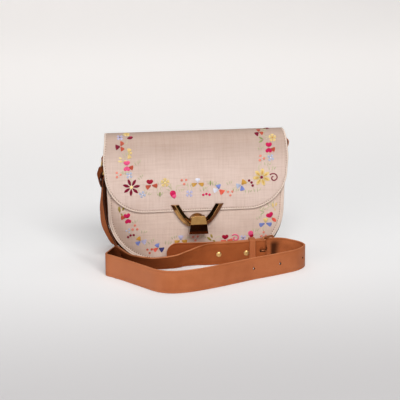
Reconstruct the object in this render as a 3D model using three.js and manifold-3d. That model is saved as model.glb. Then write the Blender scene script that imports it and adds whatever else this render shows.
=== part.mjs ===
// A saddle-shaped linen handbag with a flap, a flip-lever clasp and a buckled leather strap.
// Millimetres, +Z up, front towards -Y, origin at the middle of the bag's flat bottom.
import * as THREE from "three";
import { mergeVertices } from "three/addons/utils/BufferGeometryUtils.js";
import Module from "manifold-3d";

const wasm = await Module();
wasm.setup();

// Driving sizes
const seat = 0.3; // gap between pieces that rest on each other
const clothWall = 2.2; // linen on board
const gussetWall = 1.8;
const tabWall = 1.4;
const flatHalf = 41; // half length of the flat bottom
const cornerRadius = 58; // lower corners of the two panels
const gussetInset = 3.6; // the panels stand proud of the gusset at the sides
const frontTop = 124;
const backTop = 129;
const gussetTop = 137;

const flapEdge = 58.5; // height of the flap's straight lower edge
const flapFlatHalf = 58;
const flapCorner = 44.6;
const flapLift = 0.4; // flap clear of the panels
const foldZ = 130; // centre of the fold over the top
const foldRadius = 13;
const flapBackEnd = 110; // the flap is sewn down the back to here
const backLean = 0.3; // radians, the back leans towards the front at the top

const strapWidth = 25;
const strapThick = 2;
const strapHole = 2.4;
const holePitch = 34.7;
const firstHole = { x: 112, y: -76.9 }; // the holes start past this corner of the right turn
const holeCount = 3;
const wire = 1.3; // radius of the ring and buckle wire
const strapEyeGap = 0.5; // between a wire and the strap turned round it
const wireGap = 0.35; // between a wire and a tab or prong turned round it
const eyeRadius = wire + strapEyeGap + strapThick / 2;
const tabEye = wire + wireGap + tabWall / 2;
const tabWidth = 16;
const ringWidth = 28.4; // between the middles of the long ring's ends
const ringDrop = 14.2; // between the ring's two bars
const ringCorner = 3;
const sideY = -10; // middle of the rings
const tabY = -12.5; // middle of the tabs on the gusset

const claspZ = 46.6;
const plateRadius = 9.3;
const plateThick = 1.7;
const hornWidth = 8;
const hornRise = 4;
const hornTop = 66.8;
const pinY = -40.6;
const pinZ = 51.2;
const pinRadius = 0.9;
const pinHalf = 7.9;
const postHalf = 3.4;
const postRise = 2;
const postDip = 0.5; // the post's top dips behind its nose, clear of the raised lever

// Side view of the bag: the panels' outer faces at the seams, and how far their middles swell
const bodyRows = [
  { z: 0, front: -28, back: 28, crown: 0.3 },
  { z: 20, front: -28.8, back: 28.3, crown: 1.5 },
  { z: 45, front: -29, back: 26, crown: 2 },
  { z: 70, front: -28.2, back: 20.6, crown: 2 },
  { z: 95, front: -26.5, back: 13.2, crown: 1.5 },
  { z: 120, front: -24.2, back: 5.3, crown: 0.7 },
  { z: 134, front: -23.2, back: 0.9, crown: 0.2 },
];

// Half widths of the panels above their corners, and of the flap above its own
const panelRows = [
  { z: 58, half: 99 },
  { z: 86, half: 99.8 },
  { z: 110, half: 99 },
  { z: 134, half: 96 },
];
const flapRows = [
  { z: 102.5, half: 102.6 },
  { z: 115, half: 103.8 },
  { z: 125, half: 103.3 },
  { z: 134, half: 102.2 },
  { z: 148, half: 100 },
  { z: 160, half: 98.6 },
];

// Each side's tab and ring: where the bar sits in the tab, how far the loop stands out above it,
// and how far the ring's free bar hangs outward
const sides = [
  { name: "left", sign: -1, barX: 100.6, barZ: 115.5, loop: 98.8, swing: 2 },
  { name: "right", sign: 1, barX: 100.6, barZ: 121.6, loop: 105, swing: 0.1 },
];

// Bends of a tab: below the gusset's top on the inner layer, above the ring's bar, below its own top
const tabBends = { sewn: 6, neck: 5, belly: 3.5, bulge: 10, shoulder: 1.4 };

// The U of the clasp, from its lowest point to the end of one horn
const hornRows = [
  { x: 0, z: 43.5 },
  { x: 5.6, z: 44.2 },
  { x: 11, z: 47 },
  { x: 16.4, z: 52.4 },
  { x: 21.4, z: 60 },
  { x: 26.6, z: 69.5 },
];

// The lever's sections, from its foot to its hinge end
const leverBack = -37.8;
const leverRows = [
  { z: 35.4, half: 10.8, front: -46.2 },
  { z: 46.6, half: 9.1, front: -46.6 },
  { z: 54.6, half: 7.6, front: -44 },
  { z: 55, half: 7.2, front: -43.4 },
];

// Strap routes: the strap's middle, and the way from its rear or lower edge to the other edge
const foldedEnd = [
  { x: -104.9, z: 86.8 },
  { x: -106.0, z: 91.8 },
  { x: -106.9, z: 96.4 },
];
const shortRoute = [
  { x: -102.5, y: -10, z: 94, ex: 0, ey: -1, ez: 0.08 },
  { x: -102.8, y: -12, z: 84, ex: -0.04, ey: -0.96, ez: 0.24 },
  { x: -105.4, y: -28.7, z: 67.5, ex: 0.03, ey: -0.97, ez: 0.26 },
  { x: -104.8, y: -44, z: 54.8, ex: 0.11, ey: -0.97, ez: 0.32 },
  { x: -101.4, y: -56.6, z: 44.8, ex: 0.06, ey: -0.96, ez: 0.34 },
  { x: -97.7, y: -65.4, z: 38.3, ex: 0, ey: -0.95, ez: 0.35 },
  { x: -93.1, y: -69, z: 31.4, ex: -0.09, ey: -0.95, ez: 0.3 },
  { x: -86.9, y: -73.4, z: 25.5, ex: 0.1, ey: -0.93, ez: 0.36 },
  { x: -77.9, y: -72.4, z: 19.2, ex: 0.2, ey: -0.86, ez: 0.48 },
  { x: -59.9, y: -69.4, z: 12.9, ex: 0.18, ey: -0.78, ez: 0.6 },
  { x: -47.3, y: -68, z: 10.6, ex: 0.14, ey: -0.68, ez: 0.72 },
  { x: -31.5, y: -66.4, z: 11, ex: 0.1, ey: -0.63, ez: 0.77 },
  { x: -15.1, y: -57.5, z: 11.7, ex: 0, ey: -0.54, ez: 0.84 },
  { x: 0, y: -52, z: 12.6, ex: 0, ey: -0.27, ez: 0.96 },
  { x: 11, y: -49.6, z: 12.7, ex: 0, ey: 0, ez: 1 },
  { x: 24, y: -49.6, z: 12.9, ex: 0, ey: 0, ez: 1 },
  { x: 42, y: -51, z: 13.6, ex: 0, ey: 0, ez: 1 },
  { x: 56, y: -52.6, z: 14.7, ex: 0, ey: 0, ez: 1 },
];
// The short strap's layer that comes back behind itself from the buckle
const backLayer = [
  { x: 64, y: -51, z: 15.4 },
  { x: 56, y: -50.2, z: 14.7 },
  { x: 42, y: -48.6, z: 13.6 },
  { x: 24, y: -47.2, z: 12.9 },
  { x: 17, y: -47.1, z: 12.8 },
];
const longRoute = [
  { x: -36, y: -45.6, z: 14.3 },
  { x: -12, y: -45, z: 13.4 },
  { x: 10, y: -44.8, z: 13 },
  { x: 24, y: -44.8, z: 13.1 },
  { x: 42, y: -46.2, z: 13.7 },
  { x: 56, y: -47.8, z: 14.8 },
  { x: 63, y: -47.9, z: 15.4 },
  { x: 71, y: -46.2, z: 15.6 },
  { x: 78, y: -46.2, z: 15.6 },
  { x: 84, y: -46.8, z: 15.6 },
  { x: 93, y: -46, z: 14.8 },
  { x: 102, y: -47.4, z: 13.4 },
  { x: 111.5, y: -55, z: 12.6 },
  { x: 115, y: -67.5, z: 12.6 },
  { x: 106, y: -82, z: 12.6 },
  { x: 87.5, y: -93, z: 12.6 },
  { x: 49, y: -110, z: 12.6 },
  { x: 12, y: -128.5, z: 12.6 },
  { x: -23, y: -142.5, z: 12.6 },
  { x: -43, y: -144.5, z: 12.6 },
  { x: -57, y: -138, z: 12.6 },
  { x: -69, y: -122, z: 12.6 },
  { x: -84.8, y: -98.8, z: 12.6 },
  { x: -98, y: -80.6, z: 12.6 },
  { x: -105.5, y: -70, z: 12.6 },
  { x: -100, y: -59.7, z: 12.6, ex: -0.1, ey: 0.02, ez: 1 },
  { x: -92.4, y: -47.4, z: 12.4, ex: -0.3, ey: 0.06, ez: 0.95 },
  { x: -87, y: -38, z: 12.3, ex: -0.42, ey: 0.05, ez: 0.91 },
  { x: -86.6, y: -26, z: 12.2, ex: -0.43, ey: 0, ez: 0.9 },
  { x: -86.8, y: -4, z: 12.2, ex: -0.43, ey: 0, ez: 0.9 },
  { x: -87.4, y: 18, z: 12.3, ex: -0.4, ey: 0, ez: 0.92 },
  { x: -87.5, y: 33, z: 12.6, ex: -0.2, ey: 0, ez: 0.98 },
  { x: -80.5, y: 43.5, z: 12.6 },
  { x: -65, y: 49.5, z: 12.6 },
  { x: -38, y: 52, z: 12.6 },
  { x: 0, y: 52.5, z: 12.6 },
  { x: 48, y: 51, z: 12.8 },
  { x: 76, y: 46.5, z: 13.2 },
  { x: 91, y: 37, z: 16, ey: 0.1, ez: 1 },
  { x: 97.4, y: 27, z: 24, ey: 0.45, ez: 0.9 },
  { x: 101, y: 12, z: 42, ey: 0.8, ez: 0.6 },
  { x: 100.8, y: 0, z: 60, ey: 0.92, ez: 0.4 },
  { x: 100.3, y: -7, z: 78, ey: 0.98, ez: 0.2 },
  { x: 100.3, y: -9.5, z: 90, ey: 1, ez: 0.1 },
  { x: 100.5, y: -10, z: 98, ey: 1, ez: 0 },
];
const innerEnd = [
  { inset: 0.1, z: 102 },
  { inset: 0, z: 94 },
];

// Buckle: the heel bar holds the short strap, the far bar lies behind the long one
const heel = { x: 71, y: -51.2, approachX: 64, approachY: -53.4 };
const far = { x: 84, y: -44.2 };
const buckleZ = 15.6;
const buckleHigh = 28.2; // between the middles of its upper and lower bars
const buckleCorner = 2.4;
const prongRadius = 0.9;
const prongPast = 1.6; // the prong's end reaches past the far bar's middle
const prongRoom = 0.5; // round the prong where it goes through the strap
const prongSlot = { long: 12.6, deep: 20, room: 0.8, shift: 2.7 };
const hookTurns = [0.6, 0.25, -0.1, -0.45, -0.8, -1]; // half turns round the heel bar
const keeperX = 59;
const keeperWidth = 7;
const keeperWall = 1.4;
const keeperSlack = 1.4;
const keeperCentre = { y: -50.2, z: 14.9, depth: 8.6, turn: -0.03 };
const studs = [
  { name: "stud_1", x: 21.8, y: -49.6, z: 12.4, turn: -0.02 },
  { name: "stud_2", x: 52.3, y: -52.2, z: 13.4, turn: -0.11 },
];
const studRadius = 2.9;
const studRise = 1.6;

const linen = { color: 0xd6c2b4, roughness: 0.85, metalness: 0 };
const leather = { color: 0xbe6e46, roughness: 0.5, metalness: 0 };
const gold = { color: 0xcaa25a, roughness: 0.2, metalness: 1 };

const model = new THREE.Group();

function addPiece(name, geometry, finish) {
  const mesh = new THREE.Mesh(geometry, new THREE.MeshStandardMaterial(finish));
  mesh.name = name;
  model.add(mesh);
  return mesh;
}

// Smooth reading of one column of a table at a height z
function read(rows, key, z) {
  const last = rows.length - 1;
  let i = 0;
  while (i < last - 1 && z > rows[i + 1].z) i += 1;
  const slope = (k) => {
    const a = rows[Math.max(0, k - 1)];
    const b = rows[Math.min(last, k + 1)];
    return (b[key] - a[key]) / (b.z - a.z);
  };
  const span = rows[i + 1].z - rows[i].z;
  const t = (z - rows[i].z) / span;
  const t2 = t * t;
  const t3 = t2 * t;
  return (
    (2 * t3 - 3 * t2 + 1) * rows[i][key] +
    (t3 - 2 * t2 + t) * span * slope(i) +
    (3 * t2 - 2 * t3) * rows[i + 1][key] +
    (t3 - t2) * span * slope(i + 1)
  );
}

// A solid through a row of rings with the same number of points; the ends are closed side to side
function loft(rings, closed = false) {
  const count = rings[0].length;
  const faces = [];
  const quad = (a, b, c, d) => faces.push(a, b, c, a, c, d);
  const spans = closed ? rings.length : rings.length - 1;
  for (let i = 0; i < spans; i += 1) {
    const here = i * count;
    const next = ((i + 1) % rings.length) * count;
    for (let j = 0; j < count; j += 1) {
      const k = (j + 1) % count;
      quad(here + j, here + k, next + k, next + j);
    }
  }
  const end = (rings.length - 1) * count;
  for (let j = 0; !closed && j < count / 2 - 1; j += 1) {
    quad(j + 1, j, count - 1 - j, count - 2 - j);
    quad(end + j, end + j + 1, end + count - 2 - j, end + count - 1 - j);
  }
  const points = rings.flat();
  let volume = 0;
  for (let f = 0; f < faces.length; f += 3) {
    const [a, b, c] = [points[faces[f]], points[faces[f + 1]], points[faces[f + 2]]];
    volume += a.dot(b.clone().cross(c));
  }
  if (volume < 0) faces.reverse();
  const geometry = new THREE.BufferGeometry();
  const numbers = points.flatMap((p) => [p.x, p.y, p.z]);
  geometry.setAttribute("position", new THREE.Float32BufferAttribute(numbers, 3));
  geometry.setIndex(faces);
  geometry.computeVertexNormals();
  return geometry;
}

function toSolid(geometry) {
  const plain = geometry.clone();
  plain.deleteAttribute("normal");
  plain.deleteAttribute("uv");
  const merged = mergeVertices(plain, 1e-4);
  return new wasm.Manifold(
    new wasm.Mesh({
      numProp: 3,
      vertProperties: new Float32Array(merged.attributes.position.array),
      triVerts: new Uint32Array(merged.index.array),
    })
  );
}

function toGeometry(solid) {
  const mesh = solid.getMesh();
  const geometry = new THREE.BufferGeometry();
  geometry.setAttribute("position", new THREE.BufferAttribute(mesh.vertProperties, 3));
  geometry.setIndex(new THREE.BufferAttribute(mesh.triVerts, 1));
  geometry.computeVertexNormals();
  return geometry;
}

function boxAt(width, depth, height, x, y, z) {
  return new THREE.BoxGeometry(width, depth, height).translate(x, y, z);
}

// A round bar between two points
function barAt(start, end, radius, sidesRound = 12) {
  const along = end.clone().sub(start);
  const bar = new THREE.CylinderGeometry(radius, radius, along.length(), sidesRound);
  const upright = new THREE.Vector3(0, 1, 0);
  const turn = new THREE.Quaternion().setFromUnitVectors(upright, along.clone().normalize());
  const middle = start.clone().add(end).multiplyScalar(0.5);
  return bar.applyQuaternion(turn).translate(middle.x, middle.y, middle.z);
}

const acrossCount = 14;

function across() {
  return Array.from({ length: acrossCount + 1 }, (_, i) => (2 * i) / acrossCount - 1);
}

function panelHalf(z) {
  if (z >= cornerRadius) return read(panelRows, "half", z);
  return flatHalf + Math.sqrt(cornerRadius ** 2 - (cornerRadius - z) ** 2);
}

function swell(c) {
  return 1 - c ** 4;
}

// One wall of the body: rows climb the round corners, then the straight sides
function makePanel(key, way, top) {
  const cornerSteps = 9;
  const heights = [];
  for (let i = 0; i <= cornerSteps; i += 1) {
    heights.push(cornerRadius * (1 - Math.cos((i / cornerSteps) * (Math.PI / 2))));
  }
  const sideSteps = 5;
  for (let i = 1; i <= sideSteps; i += 1) {
    heights.push(cornerRadius + ((top - cornerRadius) * i) / sideSteps);
  }
  const rings = heights.map((z) => {
    const face = (c, inset) => {
      const y = read(bodyRows, key, z) + way * (read(bodyRows, "crown", z) * swell(c) - inset);
      return new THREE.Vector3(panelHalf(z) * c, y, z);
    };
    return [
      ...across().map((c) => face(c, 0)),
      ...across().reverse().map((c) => face(c, clothWall)),
    ];
  });
  return loft(rings);
}

// The strip round the sides and bottom, as wide as the bag is deep at each height
function makeGusset() {
  const radius = cornerRadius - gussetInset;
  const stations = [];
  const corner = 10;
  const rise = 5;
  for (let i = 0; i < rise; i += 1) {
    stations.push({ x: flatHalf + radius, z: gussetTop + ((radius - gussetTop) * i) / rise, nx: 1, nz: 0 });
  }
  for (let i = 0; i <= corner; i += 1) {
    const a = (i / corner) * (Math.PI / 2);
    stations.push({
      x: flatHalf + radius * Math.cos(a),
      z: radius * (1 - Math.sin(a)),
      nx: Math.cos(a),
      nz: -Math.sin(a),
    });
  }
  const mirrored = stations.map((s) => ({ ...s, x: -s.x, nx: -s.nx })).reverse();
  const rings = [...stations, ...mirrored].map((s) => {
    const front = read(bodyRows, "front", s.z) + clothWall + seat;
    const back = read(bodyRows, "back", s.z) - clothWall - seat;
    const at = (y, inset) => new THREE.Vector3(s.x - s.nx * inset, y, s.z - s.nz * inset);
    return [at(front, 0), at(back, 0), at(back, gussetWall), at(front, gussetWall)];
  });
  return loft(rings);
}

// The flap's inner face in side view: up the front, round the fold, down the back
function flapStations() {
  const stations = [];
  const frontY = (z) => read(bodyRows, "front", z) - read(bodyRows, "crown", z) - flapLift;
  const backY = (z) => read(bodyRows, "back", z) + read(bodyRows, "crown", z) + flapLift;
  const cornerSteps = 8;
  for (let i = 0; i <= cornerSteps; i += 1) {
    const a = (i / cornerSteps) * (Math.PI / 2);
    const z = flapEdge + flapCorner * (1 - Math.cos(a));
    stations.push({ y: frontY(z), z, ny: -1, nz: 0, half: flapFlatHalf + flapCorner * Math.sin(a) });
  }
  const cornerTop = flapEdge + flapCorner;
  const straightSteps = 4;
  for (let i = 1; i < straightSteps; i += 1) {
    const z = cornerTop + ((foldZ - cornerTop) * i) / straightSteps;
    stations.push({ y: frontY(z), z, ny: -1, nz: 0, half: read(flapRows, "half", z) });
  }
  const foldY = frontY(foldZ) + foldRadius;
  const foldSteps = 10;
  const foldEnd = Math.PI - backLean;
  const foldRow = flapRows.at(-1);
  for (let i = 0; i <= foldSteps; i += 1) {
    const a = (i / foldSteps) * foldEnd;
    const ny = -Math.cos(a);
    const nz = Math.sin(a);
    const passed = foldZ + (i / foldSteps) * (foldRow.z - foldZ);
    stations.push({
      y: foldY + foldRadius * ny,
      z: foldZ + foldRadius * nz,
      ny,
      nz,
      half: read(flapRows, "half", passed),
    });
  }
  const backSteps = 3;
  const backStart = foldZ - clothWall;
  for (let i = 0; i <= backSteps; i += 1) {
    const z = backStart + ((flapBackEnd - backStart) * i) / backSteps;
    stations.push({ y: backY(z), z, ny: Math.cos(backLean), nz: Math.sin(backLean), half: foldRow.half });
  }
  return stations;
}

function makeFlap() {
  const rings = flapStations().map((s) => {
    const at = (c, out) => new THREE.Vector3(s.half * c, s.y + s.ny * out, s.z + s.nz * out);
    return [
      ...across().map((c) => at(c, clothWall)),
      ...across().reverse().map((c) => at(c, 0)),
    ];
  });
  return loft(rings);
}

// Rows of a strap route turned into a smooth flat ribbon
function ribbonStations(rows, steps = 3) {
  const middles = new THREE.CatmullRomCurve3(rows.map((r) => new THREE.Vector3(r.x, r.y, r.z)));
  const leans = new THREE.CatmullRomCurve3(
    rows.map((r) => new THREE.Vector3(r.ex ?? 0, r.ey ?? 0, r.ez ?? 1))
  );
  const count = (rows.length - 1) * steps;
  const probe = 0.2 / count;
  return Array.from({ length: count + 1 }, (_, i) => {
    const t = i / count;
    const middle = middles.getPoint(t);
    const before = middles.getPoint(Math.max(0, t - probe));
    const after = middles.getPoint(Math.min(1, t + probe));
    const forward = after.sub(before).normalize();
    const edge = leans.getPoint(t);
    edge.addScaledVector(forward, -edge.dot(forward)).normalize();
    const face = forward.clone().cross(edge).normalize();
    return { middle, forward, edge, face };
  });
}

function ribbon(stations, width, thick) {
  const rings = stations.map((s) => {
    const at = (e, f) =>
      s.middle
        .clone()
        .addScaledVector(s.edge, (e * width) / 2)
        .addScaledVector(s.face, (f * thick) / 2);
    return [at(-1, -1), at(1, -1), at(1, 1), at(-1, 1)];
  });
  return loft(rings);
}

// Route rows round a bar: an arc about its middle in the plane across it
function turnRound(centre, radius, from, to, place) {
  const steps = 6;
  return Array.from({ length: steps + 1 }, (_, i) => {
    const a = from + ((to - from) * i) / steps;
    return place(centre.u + radius * Math.cos(a), centre.v + radius * Math.sin(a));
  });
}

// A closed round-cornered loop of round wire in its own XY plane
function wireLoop(width, height, corner, radius) {
  const stations = [];
  const steps = 4;
  const sidesRound = 8;
  const centres = [
    [width / 2 - corner, height / 2 - corner],
    [corner - width / 2, height / 2 - corner],
    [corner - width / 2, corner - height / 2],
    [width / 2 - corner, corner - height / 2],
  ];
  centres.forEach(([cx, cy], quarter) => {
    for (let i = 0; i <= steps; i += 1) {
      const a = (quarter + i / steps) * (Math.PI / 2);
      stations.push({ x: cx + corner * Math.cos(a), y: cy + corner * Math.sin(a), a });
    }
  });
  const rings = stations.map((s) =>
    Array.from({ length: sidesRound }, (_, k) => {
      const b = ((k + 0.5) / sidesRound) * 2 * Math.PI;
      const out = radius * Math.cos(b);
      return new THREE.Vector3(s.x + out * Math.cos(s.a), s.y + out * Math.sin(s.a), radius * Math.sin(b));
    })
  );
  return loft(rings, true);
}

function placeBasis(mesh, xAxis, yAxis, origin) {
  const zAxis = xAxis.clone().cross(yAxis);
  mesh.applyMatrix4(new THREE.Matrix4().makeBasis(xAxis, yAxis, zAxis).setPosition(origin));
}

addPiece("front_panel", makePanel("front", -1, frontTop), linen);
addPiece("back_panel", makePanel("back", 1, backTop), linen);
addPiece("gusset", makeGusset(), leather);
addPiece("flap", makeFlap(), linen);

// Tabs and rings: the tab is sewn to the gusset above, and its lower turn holds the ring
const gussetOut = flatHalf + cornerRadius - gussetInset;
const tabIn = gussetOut + seat + tabWall / 2;
const tabOut = tabIn + tabWall + seat;
const ringBars = {};
for (const side of sides) {
  const row = (x, z) => ({ x: side.sign * x, y: tabY, z, ex: 0, ey: 1, ez: 0 });
  const bar = { u: side.barX, v: side.barZ };
  const tabRows = [
    row(tabIn, gussetTop),
    row(tabIn, gussetTop - tabBends.sewn),
    row((tabIn + side.barX - tabEye) / 2, side.barZ + tabBends.neck),
    ...turnRound(bar, tabEye, Math.PI, 2 * Math.PI, row),
    row((side.loop + side.barX + tabEye) / 2, side.barZ + tabBends.belly),
    row(side.loop, side.barZ + tabBends.bulge),
    row((side.loop + tabOut) / 2, gussetTop - tabBends.shoulder),
    row(tabOut, gussetTop),
  ];
  addPiece(`${side.name}_tab`, ribbon(ribbonStations(tabRows, 2), tabWidth, tabWall), leather);

  const drop = Math.sqrt(ringDrop ** 2 - side.swing ** 2);
  const down = new THREE.Vector3((side.sign * side.swing) / ringDrop, 0, -drop / ringDrop);
  const held = new THREE.Vector3(side.sign * side.barX, sideY, side.barZ);
  const ring = addPiece(`${side.name}_ring`, wireLoop(ringWidth, ringDrop, ringCorner, wire), gold);
  placeBasis(ring, new THREE.Vector3(0, 1, 0), down, held.clone().addScaledVector(down, ringDrop / 2));
  ringBars[side.name] = held.clone().addScaledVector(down, ringDrop);
}

// Short strap: folded end outside the left ring, down the side, round the front to the buckle
const leftBar = { u: ringBars.left.x, v: ringBars.left.z };
const leftRow = (x, z) => ({ x, y: sideY, z, ex: 0, ey: -1, ez: 0 });
const heelRow = (x, y) => ({ x, y, z: buckleZ, ex: 0, ey: 0, ez: 1 });
const shortRows = [
  ...foldedEnd.map((r) => leftRow(r.x, r.z)),
  ...turnRound(leftBar, eyeRadius, Math.PI, 0, leftRow),
  ...shortRoute,
  heelRow(heel.approachX, heel.approachY),
  ...turnRound({ u: heel.x, v: heel.y }, eyeRadius, -Math.PI / 2, Math.PI / 2, heelRow),
  ...backLayer,
];
const prongEye = wire + wireGap + prongRadius;
const slotHeight = 2 * prongRadius + prongSlot.room;
const slotCut = boxAt(prongSlot.long, prongSlot.deep, slotHeight, heel.x + prongSlot.shift, heel.y, buckleZ);
const strapShort = toSolid(ribbon(ribbonStations(shortRows), strapWidth, strapThick));
addPiece("strap_short", toGeometry(strapShort.subtract(toSolid(slotCut))), leather);

// Prong: hooked round the heel bar, through the long strap, resting behind the far bar
const along = new THREE.Vector3(far.x - heel.x, far.y - heel.y, 0).normalize();
const behind = new THREE.Vector3(-along.y, along.x, 0);
const heelPoint = new THREE.Vector3(heel.x, heel.y, buckleZ);
const farPoint = new THREE.Vector3(far.x, far.y, buckleZ);
const hookPoints = hookTurns.map((turn) =>
  heelPoint
    .clone()
    .addScaledVector(behind, prongEye * Math.sin(Math.PI * turn))
    .addScaledVector(along, prongEye * Math.cos(Math.PI * turn))
);
const prongEnd = farPoint
  .clone()
  .addScaledVector(behind, wire + seat + prongRadius)
  .addScaledVector(along, prongPast);
const prongPath = new THREE.CatmullRomCurve3([
  prongEnd,
  prongEnd.clone().lerp(hookPoints[0], 0.5),
  ...hookPoints,
]);
const prongSteps = 22;
const prongSides = 8;
const prongRings = Array.from({ length: prongSteps + 1 }, (_, i) => {
  const middle = prongPath.getPointAt(i / prongSteps);
  const forward = prongPath.getTangentAt(i / prongSteps);
  const sideways = new THREE.Vector3(-forward.y, forward.x, 0);
  return Array.from({ length: prongSides }, (__, k) => {
    const a = ((k + 0.5) / prongSides) * 2 * Math.PI;
    const point = middle.clone().addScaledVector(sideways, prongRadius * Math.cos(a));
    point.z += prongRadius * Math.sin(a);
    return point;
  });
});
addPiece("buckle_prong", loft(prongRings), gold);

const buckle = addPiece(
  "buckle_frame",
  wireLoop(farPoint.distanceTo(heelPoint), buckleHigh, buckleCorner, wire),
  gold
);
placeBasis(buckle, along, new THREE.Vector3(0, 0, 1), heelPoint.clone().add(farPoint).multiplyScalar(0.5));

// Long strap: tip behind the short strap, through the buckle, round the front and up to the right ring
const rightBar = { u: ringBars.right.x, v: ringBars.right.z };
const rightRow = (x, z) => ({ x, y: sideY, z, ex: 0, ey: 1, ez: 0 });
const longRows = [
  ...longRoute,
  ...turnRound(rightBar, eyeRadius, 0, Math.PI, rightRow),
  ...innerEnd.map((r) => rightRow(rightBar.u - eyeRadius - r.inset, r.z)),
];
const longStations = ribbonStations(longRows);
let strapLong = toSolid(ribbon(longStations, strapWidth, strapThick));
const prongWay = barAt(prongEnd, hookPoints[0], prongRadius + prongRoom, 8);
strapLong = strapLong.subtract(toSolid(prongWay));

// Adjusting holes along the outer run, evenly spaced from the right turn
const fineStations = ribbonStations(longRows, 60);
let travelled = 0;
let holesMade = 0;
for (let i = 1; i < fineStations.length && holesMade < holeCount; i += 1) {
  const here = fineStations[i];
  const started = travelled > 0 || (here.middle.x < firstHole.x && here.middle.y < firstHole.y);
  if (!started) continue;
  travelled += here.middle.distanceTo(fineStations[i - 1].middle);
  if (travelled < holesMade * holePitch) continue;
  const start = here.middle.clone().addScaledVector(here.face, -strapThick * 2);
  const end = here.middle.clone().addScaledVector(here.face, strapThick * 2);
  strapLong = strapLong.subtract(toSolid(barAt(start, end, strapHole / 2, 10)));
  holesMade += 1;
}
// The tip is rounded in its own plane
const tip = longRoute[0];
const tipCut = boxAt(strapWidth, 4 * strapThick, 2 * strapWidth, tip.x, tip.y, tip.z);
const tipRound = new THREE.CylinderGeometry(strapWidth / 2, strapWidth / 2, 8 * strapThick, 24);
tipRound.translate(tip.x + strapWidth / 2, tip.y, tip.z);
const tipWaste = toSolid(tipCut).subtract(toSolid(tipRound));
addPiece("strap_long", toGeometry(strapLong.subtract(tipWaste)), leather);

// Keeper band round the three layers of strap
const keeperHigh = strapWidth + keeperSlack;
const keeperHole = boxAt(keeperWidth * 2, keeperCentre.depth, keeperHigh, 0, 0, 0);
const keeperBody = boxAt(
  keeperWidth,
  keeperCentre.depth + 2 * keeperWall,
  keeperHigh + 2 * keeperWall,
  0,
  0,
  0
);
const keeperBand = toSolid(keeperBody).subtract(toSolid(keeperHole));
const keeper = addPiece("strap_keeper", toGeometry(keeperBand), leather);
keeper.position.set(keeperX, keeperCentre.y, keeperCentre.z);
keeper.rotation.z = keeperCentre.turn;

// Domed studs on the strap's face
for (const stud of studs) {
  const profile = [new THREE.Vector2(0, 0), new THREE.Vector2(studRadius, 0)];
  const domeSteps = 4;
  for (let i = 1; i < domeSteps; i += 1) {
    const a = (i / domeSteps) * (Math.PI / 2);
    profile.push(new THREE.Vector2(studRadius * Math.cos(a), studRise * Math.sin(a)));
  }
  profile.push(new THREE.Vector2(0, studRise));
  const mesh = addPiece(stud.name, new THREE.LatheGeometry(profile, 14), gold);
  const pivot = new THREE.Group();
  mesh.rotation.x = Math.PI;
  pivot.add(mesh);
  pivot.position.set(stud.x, stud.y - strapThick / 2 - seat, stud.z);
  pivot.rotation.z = stud.turn;
  model.add(pivot);
}

// Clasp: the U with two horns, its flat back on the flap's face
const flapFaceY = Math.min(
  ...[flapEdge, hornTop].map((z) => read(bodyRows, "front", z) - read(bodyRows, "crown", z))
) - flapLift - clothWall;
const hornBackY = flapFaceY - seat;
const hornCurve = new THREE.CatmullRomCurve3([
  ...hornRows.slice(1).reverse().map((r) => new THREE.Vector3(-r.x, hornBackY, r.z)),
  ...hornRows.map((r) => new THREE.Vector3(r.x, hornBackY, r.z)),
]);
const hornProfile = [
  { side: -0.5, rise: 0 },
  { side: -0.5, rise: 0.22 },
  { side: -0.08, rise: 1 },
  { side: 0.08, rise: 1 },
  { side: 0.5, rise: 0.22 },
  { side: 0.5, rise: 0 },
];
const hornSteps = 28;
const hornRings = Array.from({ length: hornSteps + 1 }, (_, i) => {
  const t = i / hornSteps;
  const middle = hornCurve.getPoint(t);
  const forward = hornCurve.getTangent(t);
  const sideways = new THREE.Vector3(-forward.z, 0, forward.x);
  return hornProfile.map((p) => {
    const point = middle.clone().addScaledVector(sideways, p.side * hornWidth);
    point.y -= p.rise * hornRise;
    return point;
  });
});
const cutSize = 100; // larger than anything on the clasp
const hornCut = boxAt(cutSize, cutSize, cutSize, 0, hornBackY, hornTop + cutSize / 2);
addPiece("clasp_frame", toGeometry(toSolid(loft(hornRings)).subtract(toSolid(hornCut))), gold);

// Round plate with its post, the pin, and the lever that folds over the U
const panelFaceY = read(bodyRows, "front", claspZ) - read(bodyRows, "crown", claspZ);
const plateBack = panelFaceY - seat;
const plate = new THREE.CylinderGeometry(plateRadius, plateRadius, plateThick, 36);
plate.translate(0, plateBack - plateThick / 2, claspZ);
const acrossPin = (half, radius, sidesRound) =>
  barAt(new THREE.Vector3(-half, pinY, pinZ), new THREE.Vector3(half, pinY, pinZ), radius, sidesRound);
const pinBore = toSolid(acrossPin(cutSize / 2, pinRadius + seat, 16));
const postDeep = plateBack - plateThick / 2 - pinY;
const postHigh = 2 * postRise - postDip;
const postMiddle = { y: pinY + postDeep / 2, z: pinZ - postDip / 2 };
const post = toSolid(boxAt(2 * postHalf, postDeep, postHigh, 0, postMiddle.y, postMiddle.z));
const postNose = toSolid(acrossPin(postHalf, postRise, 16));
addPiece("clasp_base", toGeometry(toSolid(plate).add(post).add(postNose).subtract(pinBore)), gold);

addPiece("clasp_pin", acrossPin(pinHalf, pinRadius, 12), gold);

const leverRings = leverRows.map((r) => [
  new THREE.Vector3(-r.half, leverBack, r.z),
  new THREE.Vector3(r.half, leverBack, r.z),
  new THREE.Vector3(r.half, r.front, r.z),
  new THREE.Vector3(-r.half, r.front, r.z),
]);
const slotFront = pinY - postRise - seat;
const slotLow = pinZ - postRise - seat;
const slotWide = 2 * (postHalf + seat);
const half = cutSize / 2;
const leverSlot = toSolid(boxAt(slotWide, cutSize, cutSize, 0, slotFront + half, slotLow + half));
addPiece("clasp_lever", toGeometry(toSolid(loft(leverRings)).subtract(leverSlot).subtract(pinBore)), gold);

export default model;
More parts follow.
